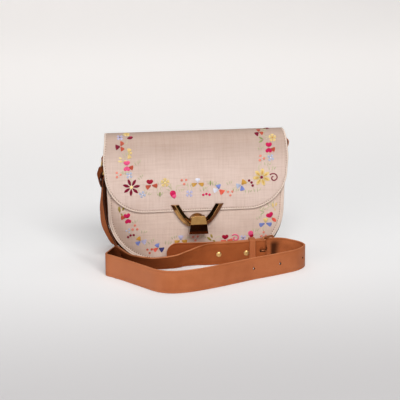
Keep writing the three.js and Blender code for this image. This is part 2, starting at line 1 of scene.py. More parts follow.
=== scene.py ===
# Linen saddle bag: embroidered flap, flip clasp, side rings and a buckled tan strap
import math
import random

import bmesh
import bpy
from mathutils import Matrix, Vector, noise


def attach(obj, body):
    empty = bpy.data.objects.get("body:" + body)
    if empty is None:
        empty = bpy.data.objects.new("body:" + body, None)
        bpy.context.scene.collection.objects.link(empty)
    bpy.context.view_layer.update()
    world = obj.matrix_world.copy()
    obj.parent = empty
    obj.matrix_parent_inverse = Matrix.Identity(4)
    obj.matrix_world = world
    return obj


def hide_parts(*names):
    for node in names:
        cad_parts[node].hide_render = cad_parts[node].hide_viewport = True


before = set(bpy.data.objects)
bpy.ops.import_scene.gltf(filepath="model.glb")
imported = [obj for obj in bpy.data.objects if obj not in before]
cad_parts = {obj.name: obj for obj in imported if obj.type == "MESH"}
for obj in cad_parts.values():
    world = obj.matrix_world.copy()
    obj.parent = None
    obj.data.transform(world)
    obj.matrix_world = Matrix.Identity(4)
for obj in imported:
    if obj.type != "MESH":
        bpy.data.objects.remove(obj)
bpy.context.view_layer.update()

mm = 0.001  # the tables below are in millimetres
scene = bpy.context.scene
print("frame loaded:", len(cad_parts), "nodes")


# View of the bag: a little from its left and from above
cameraSpec = {"aside": 8.5, "above": 15, "distance": 2000, "target": (8.2, 0, 62), "lens": 159.3,
              "sensor": 36}


def makeCamera(spec):
    aside = math.radians(spec["aside"])
    above = math.radians(spec["above"])
    flat = math.cos(above)
    look = Vector((math.sin(aside) * flat, math.cos(aside) * flat, -math.sin(above)))
    data = bpy.data.cameras.new("photoView")
    data.lens = spec["lens"]
    data.sensor_width = spec["sensor"]
    camera = bpy.data.objects.new("photoView", data)
    camera.location = (Vector(spec["target"]) - look * spec["distance"]) * mm
    camera.rotation_euler = look.to_track_quat("-Z", "Y").to_euler()
    scene.collection.objects.link(camera)
    scene.camera = camera


makeCamera(cameraSpec)
print("camera set")


# Shader maths: a socket that takes part in sums
class Value:
    def __init__(self, shade, socket):
        self.shade = shade
        self.socket = socket

    def join(self, operation, first, second=0):
        return self.shade.node("ShaderNodeMath", {"operation": operation}, {0: first, 1: second})

    def __add__(self, other):
        return self.join("ADD", self, other)

    def __sub__(self, other):
        return self.join("SUBTRACT", self, other)

    def __rsub__(self, other):
        return self.join("SUBTRACT", other, self)

    def __mul__(self, other):
        return self.join("MULTIPLY", self, other)

    __radd__ = __add__
    __rmul__ = __mul__

    def wave(self):
        return self.join("SINE", self)

    def size(self):
        return self.join("ABSOLUTE", self)

    def rise(self, low, high):
        limits = {"Value": self, "From Min": low, "From Max": high}
        return self.shade.node("ShaderNodeMapRange", {"interpolation_type": "SMOOTHSTEP"}, limits)


class Shade:
    def __init__(self, name):
        self.material = bpy.data.materials.new(name)
        self.material.use_nodes = True
        self.tree = self.material.node_tree
        self.tree.nodes.clear()

    def node(self, kind, settings=None, inputs=None, out=0):
        made = self.tree.nodes.new(kind)
        for key, setting in (settings or {}).items():
            setattr(made, key, setting)
        for key, given in (inputs or {}).items():
            if isinstance(given, Value):
                self.tree.links.new(given.socket, made.inputs[key])
            else:
                made.inputs[key].default_value = given
        return Value(self, made.outputs[out]) if len(made.outputs) else None

    def mix(self, factor, first, second):
        kinds = {"data_type": "RGBA"}
        return self.node("ShaderNodeMix", kinds, {0: factor, 6: first, 7: second}, 2)

    def noise(self, vector, scale, detail=2.0, rough=0.5):
        values = {"Vector": vector, "Scale": scale, "Detail": detail, "Roughness": rough}
        return self.node("ShaderNodeTexNoise", None, values)

    def stretch(self, vector, factors):
        kinds = {"operation": "MULTIPLY"}
        return self.node("ShaderNodeVectorMath", kinds, {0: vector, 1: factors})

    def place(self):
        return self.node("ShaderNodeTexCoord", None, None, 3)  # the piece's own coordinates

    def cloth(self):
        return self.node("ShaderNodeUVMap", {"uv_map": "cloth"})

    def axis(self, vector, number):
        return self.node("ShaderNodeSeparateXYZ", None, {0: vector}, number)

    def bump(self, height, distance, strength):
        relief = {"Height": height, "Distance": distance, "Strength": strength}
        return self.node("ShaderNodeBump", None, relief)

    def surface(self, values):
        shader = self.node("ShaderNodeBsdfPrincipled", None, values)
        self.node("ShaderNodeOutputMaterial", None, {"Surface": shader})
        return self.material


def tint(red, green, blue):
    # a screen colour as a linear one
    def linear(level):
        level /= 255
        return level / 12.92 if level <= 0.04045 else ((level + 0.055) / 1.055) ** 2.4

    return (linear(red), linear(green), linear(blue), 1)


# paintedShade is the tone of painted shade: towards the flap's fold, and in the strap's shadow low on the
# front
linenSpec = {
    "thread": 0.62, "drift": 0.16, "slub": (0.045, 1.15), "broad": (0.02, 0.42), "cloud": 0.035,
    "foldShadeFrom": (36, 92), "strapShadowFrom": (-20, -72), "relief": 0.00011,
    "ground": tint(219, 198, 188), "dark": tint(190, 164, 149), "pale": tint(228, 209, 196),
    "edge": tint(224, 206, 193), "edgeDark": tint(203, 182, 168), "frontGround": tint(221, 199, 186),
    "frontDark": tint(192, 166, 151), "paintedShade": tint(160, 134, 118),
}


def makeLinen(name, ground, dark, pale, paintedShade=0.0, strapShadow=0.0):
    # plain weave in the cloth's own flat map, whose unit is a millimetre
    shade = Shade(name)
    cloth = shade.cloth()
    across, along = shade.axis(cloth, 0), shade.axis(cloth, 1)
    turn = 2 * math.pi / linenSpec["thread"]
    drift = shade.noise(cloth, linenSpec["drift"]) * 3
    warp, weft = [(way * turn + drift).wave() for way in (across, along)]
    weave = warp * weft * 0.5 + (warp.size() + weft.size()) * 0.25

    def slubs(drawn, close, detail, rough):
        # uneven threads, drawn out one way and then the other
        return [shade.noise(shade.stretch(cloth, way), 1, detail, rough)
                for way in ((drawn, close, 1), (close, drawn, 1))]

    slubAcross, slubAlong = slubs(*linenSpec["slub"], 3, 0.6)
    broadAcross, broadAlong = slubs(*linenSpec["broad"], 2, 0.5)
    broad = broadAcross.rise(0.42, 0.7) + broadAlong.rise(0.42, 0.7)
    cloud = shade.noise(cloth, linenSpec["cloud"], 3)
    thickThreads = (slubAcross.rise(0.5, 0.78) + slubAlong.rise(0.5, 0.78)) * 0.4
    thinThreads = (slubAcross.rise(0.5, 0.25) + slubAlong.rise(0.5, 0.25)) * 0.36
    clouded = cloud.rise(0.4, 0.75) * 0.25 + broad * 0.18
    gaps = (0.5 - weave).rise(0.1, 0.7) * 0.22
    colour = ground
    for share, tone in ((thickThreads, dark), (thinThreads, pale), (clouded, dark), (gaps, dark)):
        colour = shade.mix(share, colour, tone)
    if paintedShade:  # painted shade, darker towards the fold
        shaded = along.rise(*linenSpec["foldShadeFrom"]) * paintedShade
        colour = shade.mix(shaded, colour, linenSpec["paintedShade"])
    if strapShadow:  # and painted shadow of the strap, low down on the left
        shaded = (across + along).rise(*linenSpec["strapShadowFrom"]) * strapShadow
        colour = shade.mix(shaded, colour, linenSpec["paintedShade"])
    height = weave * 0.6 + slubAcross * 0.5 + slubAlong * 0.5
    return shade.surface({
        "Base Color": colour,
        "Roughness": 0.94 - weave * 0.08,
        "Specular IOR Level": 0.15,
        "Sheen Weight": 0.12,
        "Sheen Roughness": 0.5,
        "Normal": shade.bump(height, linenSpec["relief"], 0.8),
    })


# Stretches of another tone along a strap, most of them painted light and shade: where one starts, is full,
# ebbs and ends, its share and its tone, and for one that stays low on the strap, the heights between which it
# fades
always, endless = (-1, 0), (2000, 2001)
litAndShadedStretches = {
    # side: painted light, the short strap's hanging side made lighter, back towards the lit tan
    "side": (*always, 84, 118, 0.7, tint(182, 108, 72)),
    # shadedRun: painted shade on the short strap's front run, which faces down towards the floor
    "shadedRun": (112, 134, 150, 225, 0.7, tint(96, 44, 22)),
    "tip": (*always, 34, 76, 0.65, tint(128, 58, 26)),
    # turn: painted shade inside the long strap's left turn
    "turn": (300, 390, *endless, 1, tint(82, 39, 20)),
    # buckle: painted shadow on the strap's inner face where it leaves the buckle, low down
    "buckle": (115.5, 119.5, 121, 130, 0.9, tint(44, 21, 12), (12, 4)),
    # shadedSideEdge: painted shade along the short strap's edge where it hangs beside the bag
    "shadedSideEdge": (*always, 112, 150, 1, tint(52, 25, 13)),
    # litLeftRun: painted light on the left of the long strap's front run
    "litLeftRun": (345, 375, 432, 450, 0.6, tint(192, 119, 82)),
}
leatherSpec = {
    # face, darker clouds, paler clouds, shine, stretches of painted light and shade
    "tanLeather": (tint(173, 101, 62), tint(148, 79, 44), tint(190, 119, 78), 0.1, "litLeftRun"),
    # the short strap is a darker copy of the tan leather, painted shade where it faces down in the recess
    "shadedShortStrapLeather": (tint(152, 82, 45), tint(122, 62, 33), tint(170, 98, 57), 0.0, "side", "shadedRun"),
    "innerLeather": (tint(170, 97, 58), tint(82, 39, 20), tint(186, 112, 70), 0.0, "tip", "turn", "buckle"),
    # shadedGussetLeather: the gusset's leather painted near-black, as shade in the recess between the walls
    "shadedGussetLeather": (tint(60, 28, 15), tint(46, 21, 11), tint(70, 34, 19), 0.0),
    # leatherEdgeWithHighlight: edge paint made paler than the face, a painted highlight along the rounded
    # edges
    "leatherEdgeWithHighlight": (tint(188, 118, 78), tint(150, 86, 54), tint(200, 132, 92), 0.1),
    # shortStrapEdgeLitAndShaded: paler edges as a painted highlight, near-black along the hanging side as
    # painted shade
    "shortStrapEdgeLitAndShaded": (tint(184, 114, 74), tint(52, 25, 13), tint(196, 128, 88), 0.1, "shadedSideEdge"),
    # shadedHoleWall: near-black hole walls, painted shade inside the holes
    "shadedHoleWall": (tint(40, 20, 12), tint(30, 14, 8), tint(46, 24, 14), 0.0),
}
grain = {"cloud": 45, "fine": 420, "pores": 1250, "relief": 0.00012}


def makeLeather(name, face, dark, pale, shine, *stretches):
    shade = Shade(name)
    place = shade.place()
    cloud = shade.noise(place, grain["cloud"], 4, 0.55)
    fine = shade.noise(place, grain["fine"], 3, 0.6)
    cells = {"Vector": place, "Scale": grain["pores"], "Randomness": 1}
    pores = shade.node("ShaderNodeTexVoronoi", None, cells).rise(0.05, 0.55)
    darkClouds, paleClouds = cloud.rise(0.42, 0.75) * 0.4, cloud.rise(0.5, 0.2) * 0.4
    inPores = (1 - pores) * 0.22 + fine.rise(0.5, 0.8) * 0.15
    colour = face
    for share, tone in ((darkClouds, dark), (paleClouds, pale), (inPores, dark)):
        colour = shade.mix(share, colour, tone)
    for stretch in stretches:
        start, full, ebb, end, share, tone, *heights = litAndShadedStretches[stretch]
        passed, upward = [shade.axis(shade.cloth(), number) for number in (0, 1)]
        patch = passed.rise(start, full) * passed.rise(end, ebb) * share
        if heights:
            patch = patch * upward.rise(*heights[0])
        colour = shade.mix(patch, colour, tone)
    height = pores * 0.5 + fine * 0.7
    return shade.surface({
        "Base Color": colour,
        "Roughness": fine * 0.1 - cloud * 0.06 + 0.46,
        "Specular IOR Level": shine,
        "Normal": shade.bump(height, grain["relief"], 0.7),
    })


goldTones = (tint(192, 148, 92), tint(150, 108, 62))
metalSpec = {
    # bright and deep tone, roughness, how metallic, then bands of painted reflection: axis, from and to along
    # it, the tone beyond
    # paleGold: beyond the middle the right horn is painted dark brown, a painted reflection of the strap
    "paleGold": (*goldTones, 0.05, 1.0, (0, 6, 12, tint(124, 86, 52))),
    # leverGold: the lever's lower facet painted near-black and its lowest edge browner, both painted
    # reflections
    "leverGold": (*goldTones, 0.05, 1.0, (2, 46.4, 45.8, tint(84, 82, 76)),
                  (2, 39.5, 37.5, tint(150, 118, 82))),
    "satinGold": (tint(222, 182, 118), tint(190, 146, 84), 0.3, 0.72),
    "brownBronze": (tint(176, 108, 68), tint(136, 80, 48), 0.3, 0.5),
    "plateGold": (tint(150, 106, 60), tint(116, 78, 42), 0.34, 0.8),
}
plating = {"haze": 130, "rub": (900, 120, 120)}


def makeMetal(name, bright, deep, rough, metallic, *reflectionBands):
    # plating with a faint haze, and bands where a painted reflection makes it darker or browner
    shade = Shade(name)
    place = shade.place()
    haze = shade.noise(place, plating["haze"], 4, 0.6)
    rub = shade.noise(shade.stretch(place, plating["rub"]), 1, 3, 0.6)
    colour = shade.mix(haze.rise(0.4, 0.75) * 0.5, bright, deep)
    for number, start, end, tone in reflectionBands:
        colour = shade.mix(shade.axis(place, number).rise(start * mm, end * mm), colour, tone)
    return shade.surface({
        "Base Color": colour,
        "Metallic": metallic,
        "Roughness": haze * 0.08 + rub * 0.05 + rough,
    })


twist = {"fleck": 2600, "dark": (0.02, 0.01, 0.01, 1), "relief": 0.00008}


def makeThread(name):
    # satin thread: its colour is painted on the stitches
    shade = Shade(name)
    dye = shade.node("ShaderNodeAttribute", {"attribute_name": "dye"})
    fleck = shade.noise(shade.place(), twist["fleck"])
    return shade.surface({
        "Base Color": shade.mix(fleck.rise(0.45, 0.8) * 0.14, dye, twist["dark"]),
        "Roughness": fleck * 0.2 + 0.4,
        "Specular IOR Level": 0.22,
        "Sheen Weight": 0.05,
        "Normal": shade.bump(fleck, twist["relief"], 0.5),
    })


linen = makeLinen("linen", linenSpec["frontGround"], linenSpec["frontDark"], linenSpec["pale"], strapShadow=0.9)
linenOver = makeLinen("flapLinen", linenSpec["ground"], linenSpec["dark"], linenSpec["pale"], paintedShade=0.62)
linenEdge = makeLinen("linenTurnedEdge", linenSpec["edge"], linenSpec["edgeDark"], linenSpec["edge"])
leathers = {name: makeLeather(name, *tones) for name, tones in leatherSpec.items()}
metals = {name: makeMetal(name, *tones) for name, tones in metalSpec.items()}
leather, leatherEdgeWithHighlight = leathers["tanLeather"], leathers["leatherEdgeWithHighlight"]
thread = makeThread("satinThread")
print("materials made")


# Points, faces, cloth map, dye and paint number, gathered and then made into one piece
class Shell:
    def __init__(self):
        self.points = []
        self.maps = []
        self.dyes = []
        self.faces = []
        self.paints = []

    def add(self, point, place=(0, 0), dye=(1, 1, 1, 1)):
        self.points.append(Vector(point) * mm)
        self.maps.append(place)
        self.dyes.append(dye)
        return len(self.points) - 1

    def face(self, corners, paint=0):
        self.faces.append(corners)
        self.paints.append(paint)

    def strip(self, first, second, paint=0, closed=False):
        count = len(first)
        for i in range(count if closed else count - 1):
            j = (i + 1) % count
            self.face((first[i], first[j], second[j], second[i]), paint)

    def loft(self, loops, capped=True, paint=0):
        for first, second in zip(loops, loops[1:]):
            self.strip(first, second, paint, closed=True)
        if capped:
            self.face(loops[0][::-1], paint)
            self.face(loops[-1], paint)

    def piece(self, name, materials, smooth=True, dyed=False):
        mesh = bpy.data.meshes.new(name)
        mesh.from_pydata(self.points, [], self.faces)
        layer = mesh.uv_layers.new(name="cloth")
        for loop in mesh.loops:
            layer.data[loop.index].uv = self.maps[loop.vertex_index]
        if dyed:
            colours = mesh.color_attributes.new("dye", "FLOAT_COLOR", "POINT")
            for i, dye in enumerate(self.dyes):
                colours.data[i].color = dye
        for material in materials:
            mesh.materials.append(material)
        for polygon, paint in zip(mesh.polygons, self.paints):
            polygon.material_index = paint
            polygon.use_smooth = smooth
        tidyNormals(mesh)
        made = bpy.data.objects.new(name, mesh)
        scene.collection.objects.link(made)
        return made


def tidyNormals(mesh):
    work = bmesh.new()
    work.from_mesh(mesh)
    bmesh.ops.recalc_face_normals(work, faces=work.faces)
    work.to_mesh(mesh)
    work.free()


def dress(piece, slotName, *nodes, body="bag"):
    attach(piece, body)
    if nodes:
        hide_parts(*nodes)


def readTable(rows, column, z):
    # smooth reading of one column at a height z; column 0 is the height
    last = len(rows) - 1
    i = 0
    while i < last - 1 and z > rows[i + 1][0]:
        i += 1

    def slope(k):
        a = rows[max(0, k - 1)]
        b = rows[min(last, k + 1)]
        return (b[column] - a[column]) / (b[0] - a[0])

    span = rows[i + 1][0] - rows[i][0]
    t = (z - rows[i][0]) / span
    return ((2 * t**3 - 3 * t**2 + 1) * rows[i][column] + (t**3 - 2 * t**2 + t) * span * slope(i)
            + (3 * t**2 - 2 * t**3) * rows[i + 1][column] + (t**3 - t**2) * span * slope(i + 1))


# The body: heights, then the front and back walls at the seams and how far their middles swell
body = {
    "wall": 2.2, "flatHalf": 41, "corner": 58, "frontTop": 124, "backTop": 129,
    "sides": [(0, -28, 28, 0.3), (20, -28.8, 28.3, 1.5), (45, -29, 26, 2), (70, -28.2, 20.6, 2),
              (95, -26.5, 13.2, 1.5), (120, -24.2, 5.3, 0.7), (134, -23.2, 0.9, 0.2)],
    "halves": [(58, 99), (86, 99.8), (110, 99), (134, 96)],
    "columns": 64, "sideSteps": 22, "cornerSteps": 26, "ripple": 0.16, "rippleScale": 0.045,
}
frontColumn, backColumn, crownColumn = 1, 2, 3


def panelHalf(z):
    if z >= body["corner"]:
        return readTable(body["halves"], 1, z)
    return body["flatHalf"] + math.sqrt(max(0, body["corner"] ** 2 - (body["corner"] - z) ** 2))


def ripple(u, v, seed):
    scale = body["rippleScale"]
    return body["ripple"] * noise.noise(Vector((u * scale, v * scale, seed)))


def panelPlace(column, way):
    # u across, v up, out from the wall's inner face
    def place(u, v, out):
        share = max(-1, min(1, u / max(1, panelHalf(v))))
        swell = readTable(body["sides"], crownColumn, v) * (1 - share**4)
        lift = swell + out - body["wall"] + ripple(u, v, way) * (1 - share**4)
        return Vector((u, readTable(body["sides"], column, v) + way * lift, v))

    return place


def panelOutline(top):
    # from the top of the left side down to the straight bottom
    corner, sideSteps, cornerSteps = body["corner"], body["sideSteps"], body["cornerSteps"]
    points = []
    for i in range(sideSteps):
        z = top + (corner - top) * i / sideSteps
        points.append((-panelHalf(z), z))
    for i in range(cornerSteps + 1):
        turn = math.pi / 2 * (1 - i / cornerSteps)
        points.append((-body["flatHalf"] - corner * math.sin(turn), corner * (1 - math.cos(turn))))
    return points


def fullOutline(left, columns):
    half = -left[-1][0]
    low = left[-1][1]
    middle = [(-half + 2 * half * i / columns, low) for i in range(1, columns)]
    return left + middle + [(-u, v) for u, v in reversed(left)]


def inwardSteps(outline):
    # unit steps from each outline point into the cloth
    steps = []
    for i in range(len(outline)):
        before = Vector(outline[max(0, i - 1)])
        after = Vector(outline[min(len(outline) - 1, i + 1)])
        way = (after - before).normalized()
        steps.append(Vector((-way.y, way.x)))
    return steps


def inset(outline, distance):
    return [Vector(point) + step * distance for point, step in zip(outline, inwardSteps(outline))]


def makeWall(name, materials, left, columns, outerRings, turnedIn, place):
    # one wall of cloth over board: rings follow the outline, rows fill the middle, both faces joined
    shell = Shell()
    innerRings = [(distance, innerHeights.get(i, 0), int(i < turnedIn))
                  for i, (distance, *_) in enumerate(outerRings)]
    outline = fullOutline(left, columns)
    steps = inwardSteps(outline)
    count = len(left)
    size = len(outline)

    def ring(distance, out):
        made = []
        for point, step in zip(outline, steps):
            u, v = Vector(point) + step * distance
            made.append(shell.add(place(u, v, out), (u, v)))
        return made

    def side(first, rings):
        loops = [first]
        for distance, out, paint in rings:
            loops.append(ring(distance, out))
            shell.strip(loops[-2], loops[-1], paint)
        distance, out, _ = rings[-1]
        edge = loops[-1]
        rows = []
        for i in range(count - 1):
            start = Vector(outline[i]) + steps[i] * distance
            end = Vector(outline[size - 1 - i]) + steps[size - 1 - i] * distance
            row = [edge[i]]
            for k in range(1, columns):
                u, v = start.lerp(end, k / columns)
                row.append(shell.add(place(u, v, out), (u, v)))
            rows.append(row + [edge[size - 1 - i]])
        rows.append(edge[count - 1:size - count + 1])
        for upper, lower in zip(rows, rows[1:]):
            shell.strip(upper, lower)
        return [loop[0] for loop in loops[:-1]] + rows[0] + [loop[-1] for loop in reversed(loops[:-1])]

    rim = ring(0, body["wall"] / 2)
    outer = side(rim, outerRings)
    inner = side(rim, innerRings)
    shell.strip(outer[1:-1], inner[1:-1])
    shell.face((outer[0], outer[1], inner[1]))
    shell.face((outer[-1], outer[-2], inner[-2]))
    return shell.piece(name, materials)


# Rings of the walls' edges: distance in from the edge, height above the inner face, paint
panelRings = [
    (0.12, 1.7, 1), (0.45, 2.1, 1), (0.95, 2.2, 1), (1.35, 2.05, 1), (1.6, 1.5, 1), (1.95, 1.5, 0),
    (2.2, 2.0, 1), (2.7, 2.15, 1), (3.3, 2.1, 1), (3.7, 1.75, 1), (4.1, 1.25, 0), (4.8, 1.2, 0),
    (6, 1.6, 0), (8.5, 2.05, 0), (13, 2.2, 0),
]
innerHeights = {0: 0.5, 1: 0.1}  # the inner face has the same rings and is flat but for its rounded rim
panelTurnedIn, flapTurnedIn = 3, 4


def makePanel(name, column, way, top):
    return makeWall(name, [linen, linenEdge], panelOutline(top), body["columns"], panelRings, panelTurnedIn,
                    panelPlace(column, way))


dress(makePanel("linenFront", frontColumn, -1, body["frontTop"]), "linen", "front_panel")
dress(makePanel("linenBack", backColumn, 1, body["backTop"]), "linen", "back_panel")
print("panels made")


# The flap: one cloth from its lower edge, over the fold, down the back
flap = {
    "edge": 58.5, "flatHalf": 58, "corner": 44.6, "lift": 0.4, "foldZ": 130, "foldRadius": 13,
    "backLean": 0.3, "backEnd": 110, "columns": 72, "rippleSeed": 5,
    "cornerSteps": 26, "straightSteps": 12, "foldSteps": 28, "backSteps": 8,
    "halves": [(102.5, 102.6), (115, 103.8), (125, 103.3), (134, 102.2), (148, 100), (160, 98.6)],
}
flapRings = [
    (0.12, 1.7, 1), (0.35, 2.08, 1), (0.7, 2.3, 1), (1.25, 2.32, 1), (1.6, 2.14, 1), (1.85, 1.8, 1),
    (2.3, 1.8, 0), (2.65, 2.1, 0), (4.5, 2.22, 0), (9, 2.2, 0),
]


def flapProfile():
    # side view of the flap's inner face, with the way out of it and its half width
    sides = body["sides"]
    rows = []

    def front(z):
        return readTable(sides, frontColumn, z) - readTable(sides, crownColumn, z) - flap["lift"]

    def back(z):
        return readTable(sides, backColumn, z) + readTable(sides, crownColumn, z) + flap["lift"]

    cornerSteps, straightSteps = flap["cornerSteps"], flap["straightSteps"]
    foldSteps, backSteps = flap["foldSteps"], flap["backSteps"]
    cornerTop = flap["edge"] + flap["corner"]
    for i in range(cornerSteps + 1):
        turn = math.pi / 2 * i / cornerSteps
        z = flap["edge"] + flap["corner"] * (1 - math.cos(turn))
        rows.append((front(z), z, -1, 0, flap["flatHalf"] + flap["corner"] * math.sin(turn)))
    for i in range(1, straightSteps):
        z = cornerTop + (flap["foldZ"] - cornerTop) * i / straightSteps
        rows.append((front(z), z, -1, 0, readTable(flap["halves"], 1, z)))
    foldY = front(flap["foldZ"]) + flap["foldRadius"]
    lastZ, lastHalf = flap["halves"][-1]
    for i in range(foldSteps + 1):
        turn = (math.pi - flap["backLean"]) * i / foldSteps
        wayY, wayZ = -math.cos(turn), math.sin(turn)
        passed = flap["foldZ"] + (lastZ - flap["foldZ"]) * i / foldSteps
        rows.append((foldY + flap["foldRadius"] * wayY, flap["foldZ"] + flap["foldRadius"] * wayZ, wayY, wayZ,
                     readTable(flap["halves"], 1, passed)))
    backStart = flap["foldZ"] - body["wall"]
    for i in range(backSteps + 1):
        z = backStart + (flap["backEnd"] - backStart) * i / backSteps
        rows.append((back(z), z, math.cos(flap["backLean"]), math.sin(flap["backLean"]), lastHalf))
    return rows


def clothTravel(rows):
    # way along the middle of the cloth, from the lower edge
    half = body["wall"] / 2
    middles = [(y + wayY * half, z + wayZ * half) for y, z, wayY, wayZ, _ in rows]
    ways = [0.0]
    for before, after in zip(middles, middles[1:]):
        ways.append(ways[-1] + math.dist(before, after))
    return ways


profile = flapProfile()
travel = clothTravel(profile)
flapLeft = [(-row[4], way) for row, way in zip(profile, travel)][::-1]


def flapPlace(u, v, out):
    # v runs along the cloth from the lower edge
    i = 0
    while i < len(travel) - 2 and v > travel[i + 1]:
        i += 1
    t = max(0, min(1, (v - travel[i]) / (travel[i + 1] - travel[i])))
    y, z, wayY, wayZ, _ = [a + (b - a) * t for a, b in zip(profile[i], profile[i + 1])]
    out += ripple(u, v, flap["rippleSeed"])
    return Vector((u, y + wayY * out, z + wayZ * out))


linenFlap = makeWall("linenFlap", [linenOver, linenEdge], flapLeft, flap["columns"], flapRings, flapTurnedIn,
                     flapPlace)
dress(linenFlap, "linen", "flap")
print("flap made,", round(travel[-1]), "mm of cloth")

edgeStitch = {
    "pitch": 2.7, "length": 1.9, "radius": 0.26, "sides": 6, "shares": (-0.5, -0.36, -0.15, 0.15, 0.36, 0.5),
    "taper": 1.8, "thinnest": 0.12, "rise": 1.1, "dip": 6,
    "prick": 0.6, "prickSides": 7, "prickLevels": ((1, 0.03), (0.9, 0.14), (0.4, 0.1)),
    "flapIn": 2.2, "panelIn": 4.4, "backSeam": (4, 3), "flapOut": 1.78, "panelOut": 1.15, "backOut": 2.1,
}


def resample(path, pitch):
    # points a fixed way apart along a flat path, with the way there
    out = []
    left = pitch / 2
    for a, b in zip(path, path[1:]):
        a, b = Vector(a), Vector(b)
        length = (b - a).length
        while left <= length:
            out.append((a.lerp(b, left / length), (b - a) / length))
            left += pitch
        left -= length
    return out


def tube(shell, points, radii, sides, ups, dye=(1, 1, 1, 1), closed=False):
    # a round thread or wire through points, thinner where its radius is smaller
    rings = []
    count = len(points)
    for i in range(count):
        before = points[i - 1] if closed or i else points[i]
        after = points[(i + 1) % count] if closed or i < count - 1 else points[i]
        way = (after - before).normalized()
        aside = way.cross(ups[i]).normalized()
        up = aside.cross(way)
        ring = []
        for k in range(sides):
            turn = 2 * math.pi * k / sides
            spoke = aside * math.cos(turn) + up * math.sin(turn)
            ring.append(shell.add(points[i] + spoke * radii[i], dye=dye))
        rings.append(ring)
    shell.loft(rings + (rings[:1] if closed else []), capped=not closed)


def roundLoop(shell, place, centre, radius, count, out, dye, shift=0.0):
    # a ring of points on the cloth
    loop = []
    for k in range(count):
        turn = 2 * math.pi * k / count + shift
        u, v = centre + Vector((math.cos(turn), math.sin(turn))) * radius
        loop.append(shell.add(place(u, v, out), dye=dye))
    return loop


def sew(shell, path, place, out):
    # a row of stitches, each dipping into the cloth at both ends
    radius, shares = edgeStitch["radius"], edgeStitch["shares"]
    taper, thinnest = edgeStitch["taper"], edgeStitch["thinnest"]
    radii = [radius * math.sqrt(max(thinnest, 1 - (taper * share) ** 2)) for share in shares]
    for centre, way in resample(path, edgeStitch["pitch"]):
        points, ups = [], []
        for share in shares:
            u, v = centre + way * (share * edgeStitch["length"])
            lift = radius * (edgeStitch["rise"] - edgeStitch["dip"] * share * share)
            points.append(place(u, v, out + lift))
            ups.append(place(u, v, out + 1) - place(u, v, out))
        tube(shell, points, radii, edgeStitch["sides"], ups, threadTints["edge"])
        prick(shell, place, centre + way * (edgeStitch["pitch"] / 2), out)


def prick(shell, place, centre, out):
    # the needle's hole, a small dent between two stitches, dyed dark as painted shade
    radius, sides, dye = edgeStitch["prick"], edgeStitch["prickSides"], threadTints["prick"]
    shell.loft([roundLoop(shell, place, centre, radius * share, sides, out + height, dye)
                for share, height in edgeStitch["prickLevels"]])


# the prick dye is painted shade in the needle holes
threadTints = {
    "edge": tint(222, 203, 189), "prick": tint(116, 82, 64), "maroon": tint(128, 0, 44),
    "brick": tint(194, 84, 62), "pink": tint(238, 88, 138), "magenta": tint(208, 22, 88),
    "salmon": tint(228, 138, 120), "coral": tint(242, 104, 84), "yellow": tint(233, 204, 136),
    "gold": tint(212, 158, 68), "paleBlue": tint(184, 192, 216), "blue": tint(128, 142, 208),
    "lavender": tint(194, 190, 222), "white": tint(230, 230, 244), "green": tint(150, 164, 100),
    "paleGreen": tint(198, 198, 158), "navy": tint(70, 70, 124), "cream": tint(244, 220, 156),
    "olive": tint(170, 148, 74), "red": tint(168, 12, 50),
}


def makeSeams():
    shell = Shell()
    flapSeam = inset(fullOutline(flapLeft, flap["columns"]), edgeStitch["flapIn"])
    sew(shell, flapSeam, flapPlace, edgeStitch["flapOut"])
    for top, column, way in (("frontTop", frontColumn, -1), ("backTop", backColumn, 1)):
        seam = inset(fullOutline(panelOutline(body[top]), body["columns"]), edgeStitch["panelIn"])
        sew(shell, seam, panelPlace(column, way), edgeStitch["panelOut"])
    sideIn, endIn = edgeStitch["backSeam"]
    across, up = flap["halves"][-1][1] - sideIn, travel[-1] - endIn
    sew(shell, [(-across, up), (across, up)], flapPlace, edgeStitch["backOut"])
    return shell.piece("edgeStitches", [thread], dyed=True)


dress(makeSeams(), "linen")
print("seams sewn")


# Embroidery: raised satin petals, knots and stems laid on the cloth
stitchSpec = {
    "thread": 0.36, "loft": 0.55, "ridge": 0.1, "sunk": -0.18, "rows": 7, "stem": 0.26, "stemSides": 6,
    "fuller": {"wedge": (1.08, 1.28), "lobe": (1.06, 1.1)}, "footShade": 0.74, "leastHalf": 0.08,
    "petalShades": (0.82, 0.36), "knotShades": (0.85, 0.3), "strawSizes": (0.9, 0.3), "swell": (0.12, 0.76),
    "knotSides": 10, "knotLevels": ((1.0, -0.18), (1.05, 0.2), (0.9, 0.45), (0.55, 0.66), (0.2, 0.6)),
    "link": {"reach": 26, "bow": 0.16, "start": 0.3, "span": 0.4, "steps": 6},
    "curl": {"start": 140, "sweep": 400, "shrink": 0.74, "flat": 0.95, "radius": 0.62, "steps": 24},
}
dice = random.Random(11)


def draw(least, span):
    return least + span * dice.random()


def petalHalf(shape, t):
    # half width of a petal along its length, as a share of its full width
    if shape == "wedge":
        return 0.5 * min(1, 0.12 + 1.05 * t) * math.sqrt(max(0, 1 - max(0, (t - 0.72) / 0.28) ** 2))
    if shape == "lobe":
        return 0.5 * math.sin(math.pi * t**1.5) ** 0.65
    return 0.5 * math.sin(math.pi * t**1.1) ** 0.8


